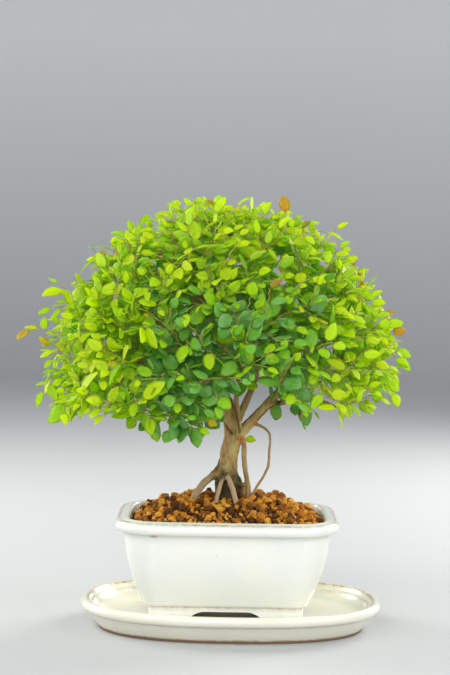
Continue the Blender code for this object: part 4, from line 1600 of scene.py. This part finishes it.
# studio: pale sweep, soft lights and the camera
studio = {
    "paper": (0.50, 0.51, 0.52),
    "wallPaper": (0.86, 0.87, 0.88),  # the wall gets less light than the floor, so it is paler
    "radius": 3.8,
    "wall": 2.0,
    "bend": 1.1,
    # place, aim, size, power and colour of each lamp
    "lamps": {
        "keyLight": ((-1.0, -1.0, 1.7), (0, 0, 0.2), 1.3, 17.0, (1.0, 0.98, 0.94)),
        "fillLight": ((1.5, -1.1, 0.9), (0, 0, 0.2), 1.4, 16.0, (1, 1, 1)),
        "frontLight": ((-0.3, -2.4, 1.25), (0, 0, 0.15), 1.2, 27.5, (1, 1, 1)),
        "backLight": ((1.1, 1.0, 0.80), (0, 0, 0.29), 0.9, 24.0, (1.0, 0.99, 0.94)),
        "sideLight": ((-1.3, 0.7, 0.70), (0, 0, 0.29), 0.9, 20.0, (1.0, 0.99, 0.94)),
    },
    "world": 0.40,
    "worldColour": (0.93, 0.97, 1.0),
}
view = {
    "place": (trayMid.x - 0.00885, -1.700, 0.3612),
    "lens": 101.4,
    "film": 36,
    "downwards": 3.425,  # degrees below level
    "roll": 0.95,
}


def makeSweep():
    # a round floor that curves up into a low wall all the way round
    clearSelection()
    bpy.ops.mesh.primitive_cylinder_add(vertices=128, radius=studio["radius"], depth=studio["wall"],
                                        location=(0, 0, studio["wall"] / 2))
    sweep = nameIt("paperSweep")
    bpy.ops.object.transform_apply(location=True, rotation=False, scale=False)
    bpy.ops.object.mode_set(mode="EDIT")
    bpy.ops.mesh.select_all(action="DESELECT")
    bm = bmesh.from_edit_mesh(sweep.data)
    for face in bm.faces:
        face.select = face.normal.z > 0.9
    bmesh.update_edit_mesh(sweep.data)
    bpy.ops.mesh.delete(type="FACE")
    bpy.ops.mesh.select_all(action="SELECT")
    bpy.ops.mesh.flip_normals()
    bpy.ops.object.mode_set(mode="OBJECT")
    modify(sweep, "BEVEL", width=studio["bend"], segments=24)
    smoothFaces(sweep.data)
    return sweep


def paperMaterial():
    material, tree, shader = newMaterial("palePaper")
    place = objectPlace(tree)
    fleck = noiseRamp(tree, place, (7.0, 3.0), 0.3, 0.7)
    plain = mixColour(tree, fleck, studio["paper"], tuple(c * 0.985 for c in studio["paper"]))
    high = greyRamp(tree, splitPlace(tree, place)["Z"], 0.0, 0.9)
    setInputs(tree, shader, Base_Color=mixColour(tree, high, plain, studio["wallPaper"]), Roughness=0.75)
    return material


def addLamp(name, place, aim, size, power, colour):
    clearSelection()
    bpy.ops.object.light_add(type="AREA", location=place)
    lamp = bpy.context.object
    lamp.name = name
    lamp.data.size = size
    lamp.data.energy = power
    lamp.data.color = colour
    lamp.rotation_euler = (Vector(aim) - Vector(place)).to_track_quat("-Z", "Y").to_euler()


paperSweep = makeSweep()
paperSweep.data.materials.append(paperMaterial())
for name, lamp in studio["lamps"].items():
    addLamp(name, *lamp)
world = bpy.data.worlds.new("softRoom")
bpy.context.scene.world = world
world.use_nodes = True
background = world.node_tree.nodes["Background"]
setInputs(world.node_tree, background, Color=studio["worldColour"], Strength=studio["world"])

clearSelection()
bpy.ops.object.camera_add(location=view["place"])
camera = bpy.context.object
camera.data.lens = view["lens"]
camera.data.sensor_width = view["film"]
camera.data.sensor_fit = "AUTO"
tilt = Matrix.Rotation(math.radians(90 - view["downwards"]), 3, "X")
roll = Matrix.Rotation(math.radians(view["roll"]), 3, "Z")
camera.rotation_euler = (tilt @ roll).to_euler()
bpy.context.scene.camera = camera
bpy.context.scene.view_settings.view_transform = "Standard"
print("studio done")

bpy.context.view_layer.update()
